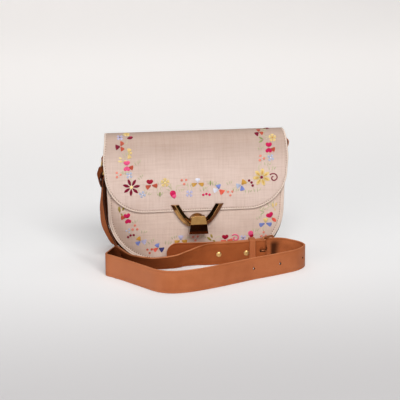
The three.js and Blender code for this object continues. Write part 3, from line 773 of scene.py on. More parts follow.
def petal(shell, place, base, turn, length, width, shape, inner, outer, lift):
    # threads run from the base to the tip, each a small ridge with its own shade
    way = Vector((math.cos(turn), math.sin(turn)))
    aside = Vector((-way.y, way.x))
    columns = 2 * max(3, round(width / stitchSpec["thread"]))
    rows = stitchSpec["rows"]
    shades = [draw(*stitchSpec["petalShades"]) for _ in range(columns + 1)]
    swellStart, swellSpan = stitchSpec["swell"]
    grid = []
    for i in range(rows + 1):
        t = i / rows
        half = max(stitchSpec["leastHalf"], petalHalf(shape, t) * width)
        line = []
        for k in range(columns + 1):
            share = 2 * k / columns - 1
            rim = i in (0, rows) or k in (0, columns)
            dome = math.sqrt(max(0, 1 - share * share)) * math.sin(math.pi * (swellStart + swellSpan * t))
            height = stitchSpec["loft"] * dome + lift + (stitchSpec["ridge"] if k % 2 else 0)
            u, v = base + way * (t * length) + aside * (share * half)
            mixed = [(a + (b - a) * t) * shades[k] for a, b in zip(inner, outer)]
            out = body["wall"] + (stitchSpec["sunk"] if rim else height)
            line.append(shell.add(place(u, v, out), dye=(*mixed[:3], 1)))
        grid.append(line)
    for upper, lower in zip(grid, grid[1:]):
        shell.strip(upper, lower)
    foot = grid[0] + [line[-1] for line in grid[1:-1]] + grid[-1][::-1] + [line[0] for line in grid[-2:0:-1]]
    shell.face(foot)


def knot(shell, place, centre, radius, colour):
    # a small wound knot
    loops = []
    for share, height in stitchSpec["knotLevels"]:
        shadeBy = draw(*stitchSpec["knotShades"])
        dye = (*[c * shadeBy for c in colour[:3]], 1)
        loops.append(roundLoop(shell, place, centre, radius * share, stitchSpec["knotSides"],
                               body["wall"] + height, dye, height))
    shell.loft(loops)


def stem(shell, place, path, colour, radius=stitchSpec["stem"]):
    wall = body["wall"]
    points = [place(u, v, wall + radius * 0.5) for u, v in path]
    ups = [place(u, v, wall + 1) - place(u, v, wall) for u, v in path]
    tube(shell, points, [radius] * len(points), stitchSpec["stemSides"], ups, colour)


# Each kind of motif: shape, its foot across and up, degrees, length, width, colour number, lift
def ray(shape, degrees, reach, length, width=0, colour=0, lift=0):
    turn = math.radians(degrees)
    return (shape, reach * math.cos(turn), reach * math.sin(turn), degrees, length, width, colour, lift)


def fan(shape, count, start, reach, length, width, colour=0, lift=0):
    return [ray(shape, start + 360 * i / count, reach, length, width, colour, lift) for i in range(count)]


def heart(x, y, turn, size, colour=0):
    return [("lobe", x, y, turn + 26, size, size * 0.66, colour, 0),
            ("lobe", x, y, turn - 26, size, size * 0.66, colour, 0)]


motifs = {
    "daisy": fan("leaf", 7, 111, 1.5, 8.6, 3.4) + [ray("knot", 0, 0, 1.8, 0, 1)],
    "star": fan("leaf", 7, 82, 1.4, 9.0, 4.7) + fan("leaf", 7, 82, 2.8, 5.4, 1.5, 2, 0.28)
            + [ray("knot", 0, 0, 1.6, 0, 1)],
    "trio": [ray("wedge", 60, 0.3, 5.0, 4.6, 1), ray("wedge", 188, 0.3, 5.2, 5.2),
             ray("wedge", 305, 0.3, 4.8, 4.5, 1)],
    "heart": heart(-1.3, 0.4, 92, 5.9) + [("wedge", 0.0, -0.6, 204, 6.2, 4.8, 1, 0),
                                          ("wedge", 0.6, -0.6, 352, 6.4, 4.8, 1, 0)],
    "bow": [ray("wedge", 75, 0.2, 5.4, 4.4), ray("wedge", 285, 0.2, 5.4, 4.4),
            ray("wedge", 10, 0.2, 3.8, 2.8)],
    "pair": heart(0, 0.2, 90, 5.7) + heart(0, -0.2, 270, 5.9) + [("wedge", 1.8, -1.6, 350, 5.2, 5.0, 1, 0)],
    "couple": heart(-1.4, -0.4, 112, 6.6) + [("leaf", -0.4, -0.4, 318, 7.4, 4.0, 1, 0)],
    "wing": [ray("wedge", 90, 0.3, 5.4, 5.4), ray("wedge", 200, 0.6, 6.6, 4.7, 1),
             ray("wedge", 340, 0.6, 6.6, 4.7, 1)],
    "three": [ray("wedge", 100, 0.3, 5.4, 5.4), ray("wedge", 192, 0.4, 6.0, 5.0, 1),
              ray("wedge", 318, 0.4, 6.0, 6.2, 2)],
    "round": fan("wedge", 5, 18, 0.5, 3.9, 3.4) + [ray("knot", 0, 0, 1.0, 0, 1)],
    "small": fan("wedge", 4, 40, 0.3, 3.4, 2.8) + [ray("knot", 0, 0, 0.8, 0, 1)],
    "tulip": [("lobe", 0.3, -4.8, 96, 9.6, 6.4, 0, 0), ("lobe", 0.9, -4.9, 92, 5.4, 4.6, 1, 0.22)],
    "petal": [ray("leaf", 12, -3.6, 7.6, 3.8), ray("leaf", 38, -1.6, 5.0, 2.0, 1)],
    "leaves": [ray("leaf", 150, 0.2, 6.4, 1.9), ray("leaf", 205, 0.4, 6.0, 1.8)],
    "blade": [("leaf", 0, -3.2, 88, 6.4, 2.0, 0, 0), ("leaf", -1.6, -2.0, 108, 4.6, 1.2, 1, 0),
              ("leaf", 1.6, -1.6, 66, 4.8, 1.2, 1, 0)],
    "sprig": [("leaf", -1.2, -3.6, 98, 7.4, 2.8, 0, 0), ("leaf", 1.4, -1.8, 72, 5.6, 2.4, 0, 0),
              ("leaf", -0.4, -3.6, 300, 4.0, 1.8, 0, 0)],
    "straws": [("leaf", -1.8, -2.0, 96, 4.6, 0.95, 0, 0), ("leaf", 0.6, -2.4, 78, 5.0, 0.95, 0, 0),
               ("leaf", 2.4, -1.2, 50, 3.8, 0.9, 0, 0)],
    "dots": [ray("knot", 90, 2.6, 1.3), ray("knot", 215, 2.8, 1.35), ray("knot", 330, 2.9, 1.3)],
    "line": [ray("knot", 140, 3.5, 1.4), ray("knot", 0, 0, 1.4), ray("knot", 290, 3.7, 1.4)],
}

flapGarland = [
    # kind, across, up the cloth, turn, size, colours
    ("small", -84, 85, 0, 0.95, "lavender", "navy"), ("round", -76, 90, 0, 0.8, "yellow", "gold"),
    ("petal", -73, 84, 0, 1.0, "maroon", "magenta"), ("trio", -84, 75, 0, 1.0, "maroon", "brick"),
    ("bow", -75.5, 67, 0, 1.0, "yellow"), ("sprig", -84, 60, 75, 0.85, "cream"),
    ("pair", -77.5, 53.5, 0, 1.0, "pink", "brick"), ("dots", -87.5, 44, 30, 1.0, "salmon"),
    ("small", -75, 43, 10, 1.0, "paleBlue", "white"), ("daisy", -73, 29.5, 0, 1.0, "maroon", "cream"),
    ("small", -61, 21, 30, 1.0, "paleBlue", "white"), ("heart", -51, 31.5, 0, 1.0, "red", "brick"),
    ("blade", -41.5, 20.5, 0, 1.0, "green", "paleGreen"), ("round", -35.5, 33.5, 0, 1.1, "yellow", "cream"),
    ("tulip", -26.5, 19.5, 4, 1.0, "magenta", "pink"), ("dots", -14.5, 34, 60, 1.05, "salmon"),
    ("small", -8.5, 20, 0, 1.1, "lavender", "paleBlue"), ("wing", 1, 31.5, 0, 0.95, "white", "gold"),
    ("line", 10.5, 19, 55, 1.0, "magenta"), ("blade", 15, 31, 0, 1.0, "green", "paleGreen"),
    ("three", 24.8, 23.5, 0, 1.0, "blue", "white", "coral"), ("dots", 37.5, 19, 180, 1.0, "salmon"),
    ("three", 50, 27.5, 90, 1.0, "paleBlue", "blue", "gold"), ("line", 61.5, 30, 0, 1.0, "maroon"),
    ("star", 73, 35.5, 0, 1.0, "yellow", "maroon", "gold"), ("dots", 73, 57, 20, 1.05, "salmon"),
    ("small", 83.5, 57, 20, 1.05, "paleBlue", "white"), ("pair", 81.5, 68.5, 0, 1.0, "magenta", "brick"),
    ("leaves", 76, 77, 0, 1.0, "green"), ("round", 86, 79, 0, 0.95, "yellow", "gold"),
    ("trio", 71.5, 86, 30, 0.95, "maroon", "brick"), ("petal", 81, 93, 0, 1.0, "maroon", "red"),
]
frontGarland = [
    ("sprig", -84.5, 62.5, 0, 1.1, "olive"), ("pair", -77.5, 52, 190, 1.0, "magenta", "brick"),
    ("dots", -69.5, 41, 0, 1.1, "salmon"), ("dots", -77, 38, 90, 0.75, "paleBlue"),
    ("line", -74.3, 32.5, 75, 0.95, "maroon"), ("three", -63, 25.5, 26, 0.95, "gold", "blue", "lavender"),
    ("dots", -53, 13.5, 180, 1.0, "brick"), ("three", -43, 16.5, 14, 0.95, "blue", "coral", "navy"),
    ("wing", -18, 24.5, 0, 1.0, "lavender", "gold"), ("dots", -1.5, 26.5, 180, 1.05, "salmon"),
    ("sprig", 15.5, 26, 40, 1.0, "olive"), ("heart", 33.6, 23, 0, 1.0, "red", "coral"),
    ("small", 52.6, 24, 0, 1.0, "lavender", "navy"), ("tulip", 61.5, 28, 0, 0.9, "pink", "red"),
    ("dots", 76, 27, 0, 1.05, "salmon"), ("wing", 78, 40.5, 0, 1.0, "yellow", "blue"),
    ("couple", 85.4, 46.8, 0, 1.0, "magenta", "coral"), ("leaves", 77, 54, 10, 1.0, "paleGreen"),
    ("sprig", 88, 60.5, 0, 0.9, "yellow"),
]
loose = {
    # short pale stitches between the flowers: across, up, turn
    "flap": [(-79, 66, 20), (-66, 56, 30), (-80, 46, 0), (-63, 40, 40), (-55, 22, -20), (-41, 33, 10),
             (-31, 27, 60), (-18, 24, 10), (-8, 30, 0), (6, 24, 20), (20, 30, -10), (36, 30, 20), (43, 22, 0),
             (57, 20, 0), (67, 21, 10), (84, 45, 0), (79, 50, 0), (72, 68, 20), (78, 88, 60)],
    "front": [(-70, 48, 20), (-60, 36, 0), (-52, 24, 30), (-33, 22, 0), (-26, 28, 20), (66, 33, 0),
              (70, 47, 30), (74, 58, -20), (83, 62, 20)],
}
curls = {"flap": [(86.5, 34.5, 5.4, "maroon")], "front": [(43.6, 24.6, 4.8, "pink")]}


def curl(shell, place, u, v, size, colour):
    # a plain wound tendril
    spec = stitchSpec["curl"]
    path = []
    for i in range(spec["steps"] + 1):
        t = i / spec["steps"]
        turn = math.radians(spec["start"] - spec["sweep"] * t)
        reach = size * (1 - spec["shrink"] * t)
        path.append((u + reach * math.cos(turn), v + reach * spec["flat"] * math.sin(turn)))
    stem(shell, place, path, colour, spec["radius"])


def layMotif(shell, place, kind, u, v, turn, size, names):
    colours = [threadTints[colour] for colour in names]
    spin = math.radians(turn)
    for shape, x, y, degrees, length, width, number, lift in motifs[kind]:
        colour = colours[min(number, len(colours) - 1)]
        foot = Vector((u + size * (x * math.cos(spin) - y * math.sin(spin)),
                       v + size * (x * math.sin(spin) + y * math.cos(spin))))
        if shape == "knot":
            knot(shell, place, foot, length * size, colour)
            continue
        deeper = [c * stitchSpec["footShade"] for c in colour[:3]] + [1]
        longer, wider = stitchSpec["fuller"].get(shape, (1, 1))
        petal(shell, place, foot, math.radians(degrees + turn), length * size * longer, width * size * wider,
              shape, deeper, colour, lift)


def embroider(name, garland, straws, tendrils, place):
    shell = Shell()
    for u, v, turn in straws:
        layMotif(shell, place, "straws", u, v, turn, draw(*stitchSpec["strawSizes"]), ["paleGreen"])
    for kind, u, v, turn, size, *names in garland:
        layMotif(shell, place, kind, u, v, turn, size, names)
    link = stitchSpec["link"]  # a pale stem between two flowers that lie close
    for (_, u, v, *_), (_, nextU, nextV, *_) in zip(garland, garland[1:]):
        here, there = Vector((u, v)), Vector((nextU, nextV))
        if (there - here).length > link["reach"]:
            continue
        bow = Vector((here.y - there.y, there.x - here.x)) * link["bow"]
        path = []
        for i in range(link["steps"] + 1):
            t = i / link["steps"]
            path.append(here.lerp(there, link["start"] + link["span"] * t) + bow * math.sin(math.pi * t))
        stem(shell, place, path, threadTints["paleGreen"])
    for u, v, size, colour in tendrils:
        curl(shell, place, u, v, size, threadTints[colour])
    dress(shell.piece(name, [thread], dyed=True), "linen")


embroider("flapEmbroidery", flapGarland, loose["flap"], curls["flap"], flapPlace)
embroider("frontEmbroidery", frontGarland, loose["front"], curls["front"], panelPlace(frontColumn, -1))
print("embroidery laid")


# Gusset: a leather strip round the sides and bottom, its edges turned out along the walls
gusset = {
    "inset": 3.6, "top": 137, "seat": 0.3, "thick": 1.6, "sag": 0.9, "columns": 16,
    "turned": [(3.2, 0.1), (3.35, 0.5), (3.2, 0.9), (1.8, 1.05), (0.9, 1.4), (0.3, 2.2), (0.05, 3.6)],
    "sideSteps": 34, "cornerSteps": 40, "flatSteps": 20, "liningIn": 2.4, "floorGap": 0.2, "shortens": 12,
    "underside": -0.2,
}


def gussetStations():
    # down the right side, round its corner, along the bottom and up again, with the way out
    radius = body["corner"] - gusset["inset"]
    half, sideSteps, cornerSteps = body["flatHalf"], gusset["sideSteps"], gusset["cornerSteps"]
    right = []
    for i in range(sideSteps):
        z = gusset["top"] + (radius - gusset["top"]) * i / sideSteps
        right.append((half + radius, z, 1, 0))
    for i in range(cornerSteps + 1):
        turn = math.pi / 2 * i / cornerSteps
        across, down = math.cos(turn), math.sin(turn)
        right.append((half + radius * across, radius * (1 - down), across, -down))
    flat = gusset["flatSteps"]
    bottom = [(half * (1 - 2 * i / flat), 0, 0, -1) for i in range(1, flat)]
    return right + bottom + [(-x, z, -wayX, wayZ) for x, z, wayX, wayZ in reversed(right)]


def makeGusset():
    shell = Shell()
    thick, sag, columns = gusset["thick"], gusset["sag"], gusset["columns"]
    foldIn = gusset["turned"][-1][1]
    loops = []
    for x, z, wayX, wayZ in gussetStations():
        front = readTable(body["sides"], frontColumn, z) + body["wall"] + gusset["seat"]
        back = readTable(body["sides"], backColumn, z) - body["wall"] - gusset["seat"]
        # the turned edge would reach below the floor on the bottom, so it lies shorter there
        room = 1
        if wayZ < gusset["underside"]:
            room = min(1, max(0.0, (z - gusset["floorGap"]) / gusset["shortens"]))
        turned = [(out * room, inward) for out, inward in gusset["turned"]]
        line = [(out, front + inward) for out, inward in turned]
        for k in range(1, columns):
            share = k / columns
            y = front + foldIn + (back - front - 2 * foldIn) * share
            line.append((-sag * math.sin(math.pi * share), y))
        line += [(out, back - inward) for out, inward in reversed(turned)]
        line += [(-thick - sag * 0.5, back - gusset["liningIn"]), (-thick - sag, (front + back) / 2),
                 (-thick - sag * 0.5, front + gusset["liningIn"])]
        loops.append([shell.add((x + wayX * out, y, z + wayZ * out)) for out, y in line])
    shell.loft(loops)
    return shell.piece("leatherGusset", [leathers["shadedGussetLeather"]])


dress(makeGusset(), "tan_leather", "gusset")
print("gusset made")


# Straps: ribbons of leather swept along listed routes
strap = {
    "half": 12.5, "thick": 2.0, "step": 1.8, "eyeGap": 0.5, "tipStep": 0.4, "tipCount": 32, "pastTip": 20,
    "tipStart": 0.05, "tipLeast": 0.02,
    "hole": 2.4, "holePitch": 34.7, "holeCount": 3, "firstHole": (112, -76.9), "holeStep": 0.5,
    "holeSides": 20,
}
wire = {"radius": 1.3, "gap": 0.35, "sides": 18, "ringWidth": 28.4, "ringDrop": 14.2, "ringCorner": 3,
        "cornerSteps": 8}
sideY, tabY = -10, -12.5
sideRings = {
    "left": {"sign": -1, "barX": 100.6, "barZ": 115.5, "loop": 98.8, "swing": 2},
    "right": {"sign": 1, "barX": 100.6, "barZ": 121.6, "loop": 105, "swing": 0.1},
}


def spline(points, i, t):
    # a smooth run through the points, gentle where they lie close together
    p1, p2 = points[i], points[i + 1]
    p0 = points[i - 1] if i else p1 * 2 - p2
    p3 = points[i + 2] if i + 2 < len(points) else p2 * 2 - p1
    d0, d1, d2 = [(b - a).length ** 0.5 for a, b in ((p0, p1), (p1, p2), (p2, p3))]
    tiny = 1e-4
    d1 = d1 if d1 > tiny else 1
    d0 = d0 if d0 > tiny else d1
    d2 = d2 if d2 > tiny else d1
    m1 = ((p1 - p0) / d0 - (p2 - p0) / (d0 + d1) + (p2 - p1) / d1) * d1
    m2 = ((p2 - p1) / d1 - (p3 - p1) / (d1 + d2) + (p3 - p2) / d2) * d1
    return p1 + m1 * t + (p2 * 3 - p1 * 3 - m1 * 2 - m2) * t**2 + (p1 * 2 - p2 * 2 + m1 + m2) * t**3


def ribbonStations(rows, step):
    # each row: x y z of the ribbon's middle, then the way from one edge to the other
    middles = [Vector(row[:3]) for row in rows]
    leans = [Vector(row[3:6]) for row in rows]
    stations = []
    near = 0.04
    for i in range(len(rows) - 1):
        count = max(2, math.ceil((middles[i + 1] - middles[i]).length / step))
        last = i == len(rows) - 2
        for k in range(count + last):
            t = k / count
            middle = spline(middles, i, t)
            ahead = spline(middles, i, min(1, t + near)) - spline(middles, i, max(0, t - near))
            forward = ahead.normalized()
            edge = spline(leans, i, t)
            edge = (edge - forward * edge.dot(forward)).normalized()
            stations.append((middle, forward, edge, forward.cross(edge).normalized()))
    return stations


# From a strap's edge inwards: way in, share of half the thickness, and 1 where it is painted as edge
strapFace = [(0, 0, 1), (0.1, 0.5, 1), (0.4, 0.86, 1), (0.9, 1, 0), (1.85, 0.98, 0), (2.08, 0.8, 0),
             (2.32, 0.8, 0), (2.6, 1, 0)]


def strapSection(half, thick):
    # edge bead, pressed line and a face that swells a little, then the mirror of it all
    t = thick / 2
    face = [(inward - half, rise * t, paint) for inward, rise, paint in strapFace]
    face += [(-half * 0.45, t * 1.03, 0), (0, t * 1.05, 0)]
    upper = face + [(-e, f, p) for e, f, p in reversed(face[:-1])]
    return upper + [(-e, -f, p) for e, f, p in upper[1:-1]]


def ribbon(shell, stations, section, widths=None, inside=0):
    # inside tells which face, above or below the middle, lies towards the bag
    loops = []
    passed = 0
    for i, (middle, _, edge, face) in enumerate(stations):
        if i:
            passed += (middle - stations[i - 1][0]).length
        share = widths(passed) if widths else 1
        loops.append([shell.add(middle + edge * (e * share) + face * f, (passed, e)) for e, f, _ in section])
    paints = []
    for (_, f, p), (_, fNext, pNext) in zip(section, section[1:] + section[:1]):
        inner = f * inside > 0 and fNext * inside > 0
        paints.append(1 if p and pNext else 2 if inner else 0)
    for first, second in zip(loops, loops[1:]):
        for k, paint in enumerate(paints):
            j = (k + 1) % len(section)
            shell.face((first[k], first[j], second[j], second[k]), paint)
    shell.face(loops[0][::-1], 1)
    shell.face(loops[-1], 1)
    return passed


def turnRound(centre, radius, start, end, place, steps=6):
    out = []
    for i in range(steps + 1):
        turn = start + (end - start) * i / steps
        out.append(place(centre[0] + radius * math.cos(turn), centre[1] + radius * math.sin(turn)))
    return out


def cutAway(piece, cutter):
    # takes the cutter's volume out of the piece
    bite = piece.modifiers.new("bite", "BOOLEAN")
    bite.object = cutter
    bite.operation = "DIFFERENCE"
    bite.solver = "EXACT"
    solid = bpy.data.meshes.new_from_object(piece.evaluated_get(bpy.context.evaluated_depsgraph_get()))
    piece.modifiers.clear()
    piece.data = solid
    for polygon in solid.polygons:
        polygon.use_smooth = True
    bpy.data.objects.remove(cutter)


# Tabs and side rings
tab = {"half": 8, "thick": 1.4, "step": 0.8, "sewn": 6, "neck": 5, "belly": 3.5, "bulge": 10, "shoulder": 1.4}
tabEye = wire["radius"] + wire["gap"] + tab["thick"] / 2
strapEye = wire["radius"] + strap["eyeGap"] + strap["thick"] / 2
tabIn = body["flatHalf"] + body["corner"] - gusset["inset"] + gusset["seat"] + tab["thick"] / 2
tabOut = tabIn + tab["thick"] + gusset["seat"]


def roundedRectangle(halfWide, halfHigh, corner, steps):
    # each point across and up, with the way out of it
    points = []
    for quarter, (signX, signY) in enumerate(((1, 1), (-1, 1), (-1, -1), (1, -1))):
        for i in range(steps + 1):
            turn = (quarter + i / steps) * math.pi / 2
            wayX, wayY = math.cos(turn), math.sin(turn)
            points.append((signX * (halfWide - corner) + corner * wayX,
                           signY * (halfHigh - corner) + corner * wayY, wayX, wayY))
    return points


def wireLoop(name, metal, node, width, height, corner, xAxis, yAxis, middle):
    shell = Shell()
    points = [middle + xAxis * x + yAxis * y
              for x, y, *_ in roundedRectangle(width / 2, height / 2, corner, wire["cornerSteps"])]
    ups = [xAxis.cross(yAxis)] * len(points)
    tube(shell, points, [wire["radius"]] * len(points), wire["sides"], ups, closed=True)
    dress(shell.piece(name, [metals[metal]]), "gold_metal", node)


bars = {}


def makeSide(name, side):
    def tabRow(x, z):
        return (side["sign"] * x, tabY, z, 0, 1, 0)

    top = gusset["top"]
    tabRows = [tabRow(tabIn, top), tabRow(tabIn, top - tab["sewn"]),
               tabRow((tabIn + side["barX"] - tabEye) / 2, side["barZ"] + tab["neck"])]
    tabRows += turnRound((side["barX"], side["barZ"]), tabEye, math.pi, 2 * math.pi, tabRow)
    tabRows += [tabRow((side["loop"] + side["barX"] + tabEye) / 2, side["barZ"] + tab["belly"]),
                tabRow(side["loop"], side["barZ"] + tab["bulge"]),
                tabRow((side["loop"] + tabOut) / 2, top - tab["shoulder"]), tabRow(tabOut, top)]
    shell = Shell()
    ribbon(shell, ribbonStations(tabRows, tab["step"]), strapSection(tab["half"], tab["thick"]))
    dress(shell.piece(name + "Tab", [leather, leatherEdgeWithHighlight]), "tan_leather", name + "_tab")

    drop = math.sqrt(wire["ringDrop"] ** 2 - side["swing"] ** 2)
    down = Vector((side["sign"] * side["swing"], 0, -drop)) / wire["ringDrop"]
    held = Vector((side["sign"] * side["barX"], sideY, side["barZ"]))
    wireLoop(name + "Ring", "satinGold", name + "_ring", wire["ringWidth"], wire["ringDrop"],
             wire["ringCorner"], Vector((0, 1, 0)), down, held + down * (wire["ringDrop"] / 2))
    bars[name] = held + down * wire["ringDrop"]


for name, side in sideRings.items():
    makeSide(name, side)
print("tabs and rings made")

# Buckle: the heel bar holds the short strap, the far bar lies behind the long one
buckle = {
    "heel": (71, -51.2), "far": (84, -44.2), "z": 15.6, "high": 28.2, "corner": 2.4, "past": 1.6, "seat": 0.3,
    "prong": 0.9, "prongSides": 14, "prongSteps": 6, "turns": (0.6, 0.25, -0.1, -0.45, -0.8, -1),
    "taper": (0.55, 0.12), "slotSize": (12.6, 20, 2.6), "slotShift": 2.7,
    "holeRoom": 0.5, "holePast": 0.1, "holeSides": 12,
}
heelPoint = Vector((*buckle["heel"], buckle["z"]))
farPoint = Vector((*buckle["far"], buckle["z"]))
alongBuckle = (farPoint - heelPoint).normalized()
behindBuckle = Vector((-alongBuckle.y, alongBuckle.x, 0))
upright = Vector((0, 0, 1))


def makeBuckle():
    wireLoop("buckleFrame", "brownBronze", "buckle_frame", (farPoint - heelPoint).length, buckle["high"],
             buckle["corner"], alongBuckle, upright, (heelPoint + farPoint) / 2)
    thick, steps = buckle["prong"], buckle["prongSteps"]
    eye = wire["radius"] + wire["gap"] + thick
    hook = [heelPoint + behindBuckle * (eye * math.sin(math.pi * turn))
            + alongBuckle * (eye * math.cos(math.pi * turn)) for turn in buckle["turns"]]
    reach = wire["radius"] + buckle["seat"] + thick
    end = farPoint + behindBuckle * reach + alongBuckle * buckle["past"]
    route = [end, end.lerp(hook[0], 0.5)] + hook
    points = [spline(route, i, k / steps) for i in range(len(route) - 1) for k in range(steps)] + [route[-1]]
    tipShare, growth = buckle["taper"]
    radii = [thick * min(1, tipShare + growth * i) for i in range(len(points))]
    shell = Shell()
    tube(shell, points, radii, buckle["prongSides"], [upright] * len(points))
    dress(shell.piece("buckleProng", [metals["brownBronze"]]), "gold_metal", "buckle_prong")
    return end, hook[0]


prongEnd, prongTurn = makeBuckle()

# Short strap: folded end outside the left ring, down the side, round the front to the buckle and back
shortRoute = [
    (-102.5, -10, 94, 0, -1, 0.08), (-102.8, -12, 84, -0.04, -0.96, 0.24),
    (-105.4, -28.7, 67.5, 0.03, -0.97, 0.26), (-104.8, -44, 54.8, 0.11, -0.97, 0.32),
    (-101.4, -56.6, 44.8, 0.06, -0.96, 0.34), (-97.7, -65.4, 38.3, 0, -0.95, 0.35),
    (-93.1, -69, 31.4, -0.09, -0.95, 0.3), (-86.9, -73.4, 25.5, 0.1, -0.93, 0.36),
    (-77.9, -72.4, 19.2, 0.2, -0.86, 0.48), (-59.9, -69.4, 12.9, 0.18, -0.78, 0.6),
    (-47.3, -68, 10.6, 0.14, -0.68, 0.72), (-31.5, -66.4, 11, 0.1, -0.63, 0.77),
    (-15.1, -57.5, 11.7, 0, -0.54, 0.84), (0, -52, 12.6, 0, -0.27, 0.96), (11, -49.6, 12.7, 0, 0, 1),
    (24, -49.6, 12.9, 0, 0, 1), (42, -51, 13.6, 0, 0, 1), (56, -52.6, 14.7, 0, 0, 1),
]
foldedEnd = [(-104.9, 86.8), (-106.0, 91.8), (-106.9, 96.4)]
backLayer = [(64, -51, 15.4), (56, -50.2, 14.7), (42, -48.6, 13.6), (24, -47.2, 12.9), (17, -47.1, 12.8)]


def leftRow(x, z):
    return (x, sideY, z, 0, -1, 0)


def heelRow(x, y):
    return (x, y, buckle["z"], 0, 0, 1)


shortRows = [leftRow(x, z) for x, z in foldedEnd]
shortRows += turnRound((bars["left"].x, bars["left"].z), strapEye, math.pi, 0, leftRow)
shortRows += shortRoute + [heelRow(64, -53.4)]
shortRows += turnRound(buckle["heel"], strapEye, -math.pi / 2, math.pi / 2, heelRow)
shortRows += [(*row, 0, 0, 1) for row in backLayer]
section = strapSection(strap["half"], strap["thick"])


def boxShell(size, middle):
    shell = Shell()
    corners = [[shell.add(middle + Vector((x * size[0], y * size[1], z * size[2])) / 2)
                for x, y in ((-1, -1), (1, -1), (1, 1), (-1, 1))] for z in (-1, 1)]
    shell.loft(corners, paint=1)
    return shell


def makeShortStrap():
    shell = Shell()
    length = ribbon(shell, ribbonStations(shortRows, strap["step"]), section, inside=-1)
    paints = [leathers["shadedShortStrapLeather"], leathers["shortStrapEdgeLitAndShaded"], leathers["innerLeather"]]
    piece = shell.piece("shortStrap", paints)
    slot = boxShell(buckle["slotSize"], heelPoint + Vector((buckle["slotShift"], 0, 0)))
    cutAway(piece, slot.piece("slotCutter", [leather, leatherEdgeWithHighlight], smooth=False))
    dress(piece, "tan_leather", "strap_short")
    return length


shortLength = makeShortStrap()

# Long strap: tip behind the short strap, through the buckle, round the front, behind, up to the right ring
longRoute = [
    (-36, -45.6, 14.3), (-12, -45, 13.4), (10, -44.8, 13), (24, -44.8, 13.1), (42, -46.2, 13.7),
    (56, -47.8, 14.8), (63, -47.9, 15.4), (71, -46.2, 15.6), (78, -46.2, 15.6), (84, -46.8, 15.6),
    (93, -46, 14.8), (102, -47.4, 13.4), (111.5, -55, 12.6), (115, -67.5, 12.6), (106, -82, 12.6),
    (87.5, -93, 12.6), (49, -110, 12.6), (12, -128.5, 12.6), (-23, -142.5, 12.6), (-43, -144.5, 12.6),
    (-57, -138, 12.6), (-69, -122, 12.6), (-84.8, -98.8, 12.6), (-98, -80.6, 12.6), (-105.5, -70, 12.6),
    (-100, -59.7, 12.6, -0.1, 0.02, 1), (-92.4, -47.4, 12.4, -0.3, 0.06, 0.95),
    (-87, -38, 12.3, -0.42, 0.05, 0.91), (-86.6, -26, 12.2, -0.43, 0, 0.9),
    (-86.8, -4, 12.2, -0.43, 0, 0.9), (-87.4, 18, 12.3, -0.4, 0, 0.92), (-87.5, 33, 12.6, -0.2, 0, 0.98),
    (-80.5, 43.5, 12.6), (-65, 49.5, 12.6), (-38, 52, 12.6), (0, 52.5, 12.6), (48, 51, 12.8),
    (76, 46.5, 13.2), (91, 37, 16, 0, 0.1, 1), (97.4, 27, 24, 0, 0.45, 0.9), (101, 12, 42, 0, 0.8, 0.6),
    (100.8, 0, 60, 0, 0.92, 0.4), (100.3, -7, 78, 0, 0.98, 0.2), (100.3, -9.5, 90, 0, 1, 0.1),
    (100.5, -10, 98, 0, 1, 0),
]
innerEnd = [(0.1, 102), (0, 94)]


def rightRow(x, z):
    return (x, sideY, z, 0, 1, 0)


longRows = [row if len(row) == 6 else (*row, 0, 0, 1) for row in longRoute]
longRows += turnRound((bars["right"].x, bars["right"].z), strapEye, 0, math.pi, rightRow)
longRows += [rightRow(bars["right"].x - strapEye - inward, z) for inward, z in innerEnd]


def tipWidth(passed):
    # the free tip is cut round
    short = max(0, 1 - (passed + strap["tipStart"]) / strap["half"])
    return max(strap["tipLeast"], math.sqrt(1 - short * short))


def holeCutter(paints):
    # the prong's own hole, then three round ones along the front
    cutter = Shell()
    ends = [prongEnd, prongTurn + (prongTurn - prongEnd) * buckle["holePast"]]
    tube(cutter, ends, [buckle["prong"] + buckle["holeRoom"]] * 2, buckle["holeSides"], [upright] * 2)
    passed, made, started = 0, 0, False
    stations = ribbonStations(longRows, strap["holeStep"])
    for (before, *_), (middle, _, edge, face) in zip(stations, stations[1:]):
        started = started or (middle.x < strap["firstHole"][0] and middle.y < strap["firstHole"][1])
        if not started or made == strap["holeCount"]:
            continue
        passed += (middle - before).length
        if passed >= made * strap["holePitch"]:
            through = face * strap["thick"] * 2
            ends = [middle - through, middle + through]
            tube(cutter, ends, [strap["hole"] / 2] * 2, strap["holeSides"], [edge] * 2)
            made += 1
    # the hole walls take the last paint, near-black as painted shade inside the holes
    cutter.paints = [len(paints) - 1] * len(cutter.faces)
    return cutter.piece("holeCutter", paints)


def makeLongStrap():
    stations = ribbonStations(longRows, strap["step"])
    tip = ribbonStations(longRows[:2], strap["tipStep"])[:strap["tipCount"]]
    clear = tip[-1][0].x + 1
    joined = tip + [s for i, s in enumerate(stations) if s[0].x > clear or i > strap["pastTip"]]
    shell = Shell()
    length = ribbon(shell, joined, section, tipWidth, inside=1)
    paints = [leather, leatherEdgeWithHighlight, leathers["innerLeather"], leathers["shadedHoleWall"]]
    piece = shell.piece("longStrap", paints)
    cutAway(piece, holeCutter(paints))
    dress(piece, "tan_leather", "strap_long")
    return length


longLength = makeLongStrap()
print("straps made:", round(shortLength), "and", round(longLength), "mm")

# Keeper band round the layers of strap, and the two studs
keeper = {"place": (59, -50.2, 14.9), "depth": 8.6, "high": 26.4, "wall": 1.4, "width": 7, "turn": -0.03,
          "corner": 1.6, "steps": 6,
          "bead": [(0, 0), (0.15, 0.55), (0.6, 0.7), (1.3, 0.7), (1.5, 0.58), (1.7, 0.7), (3.5, 0.74)]}


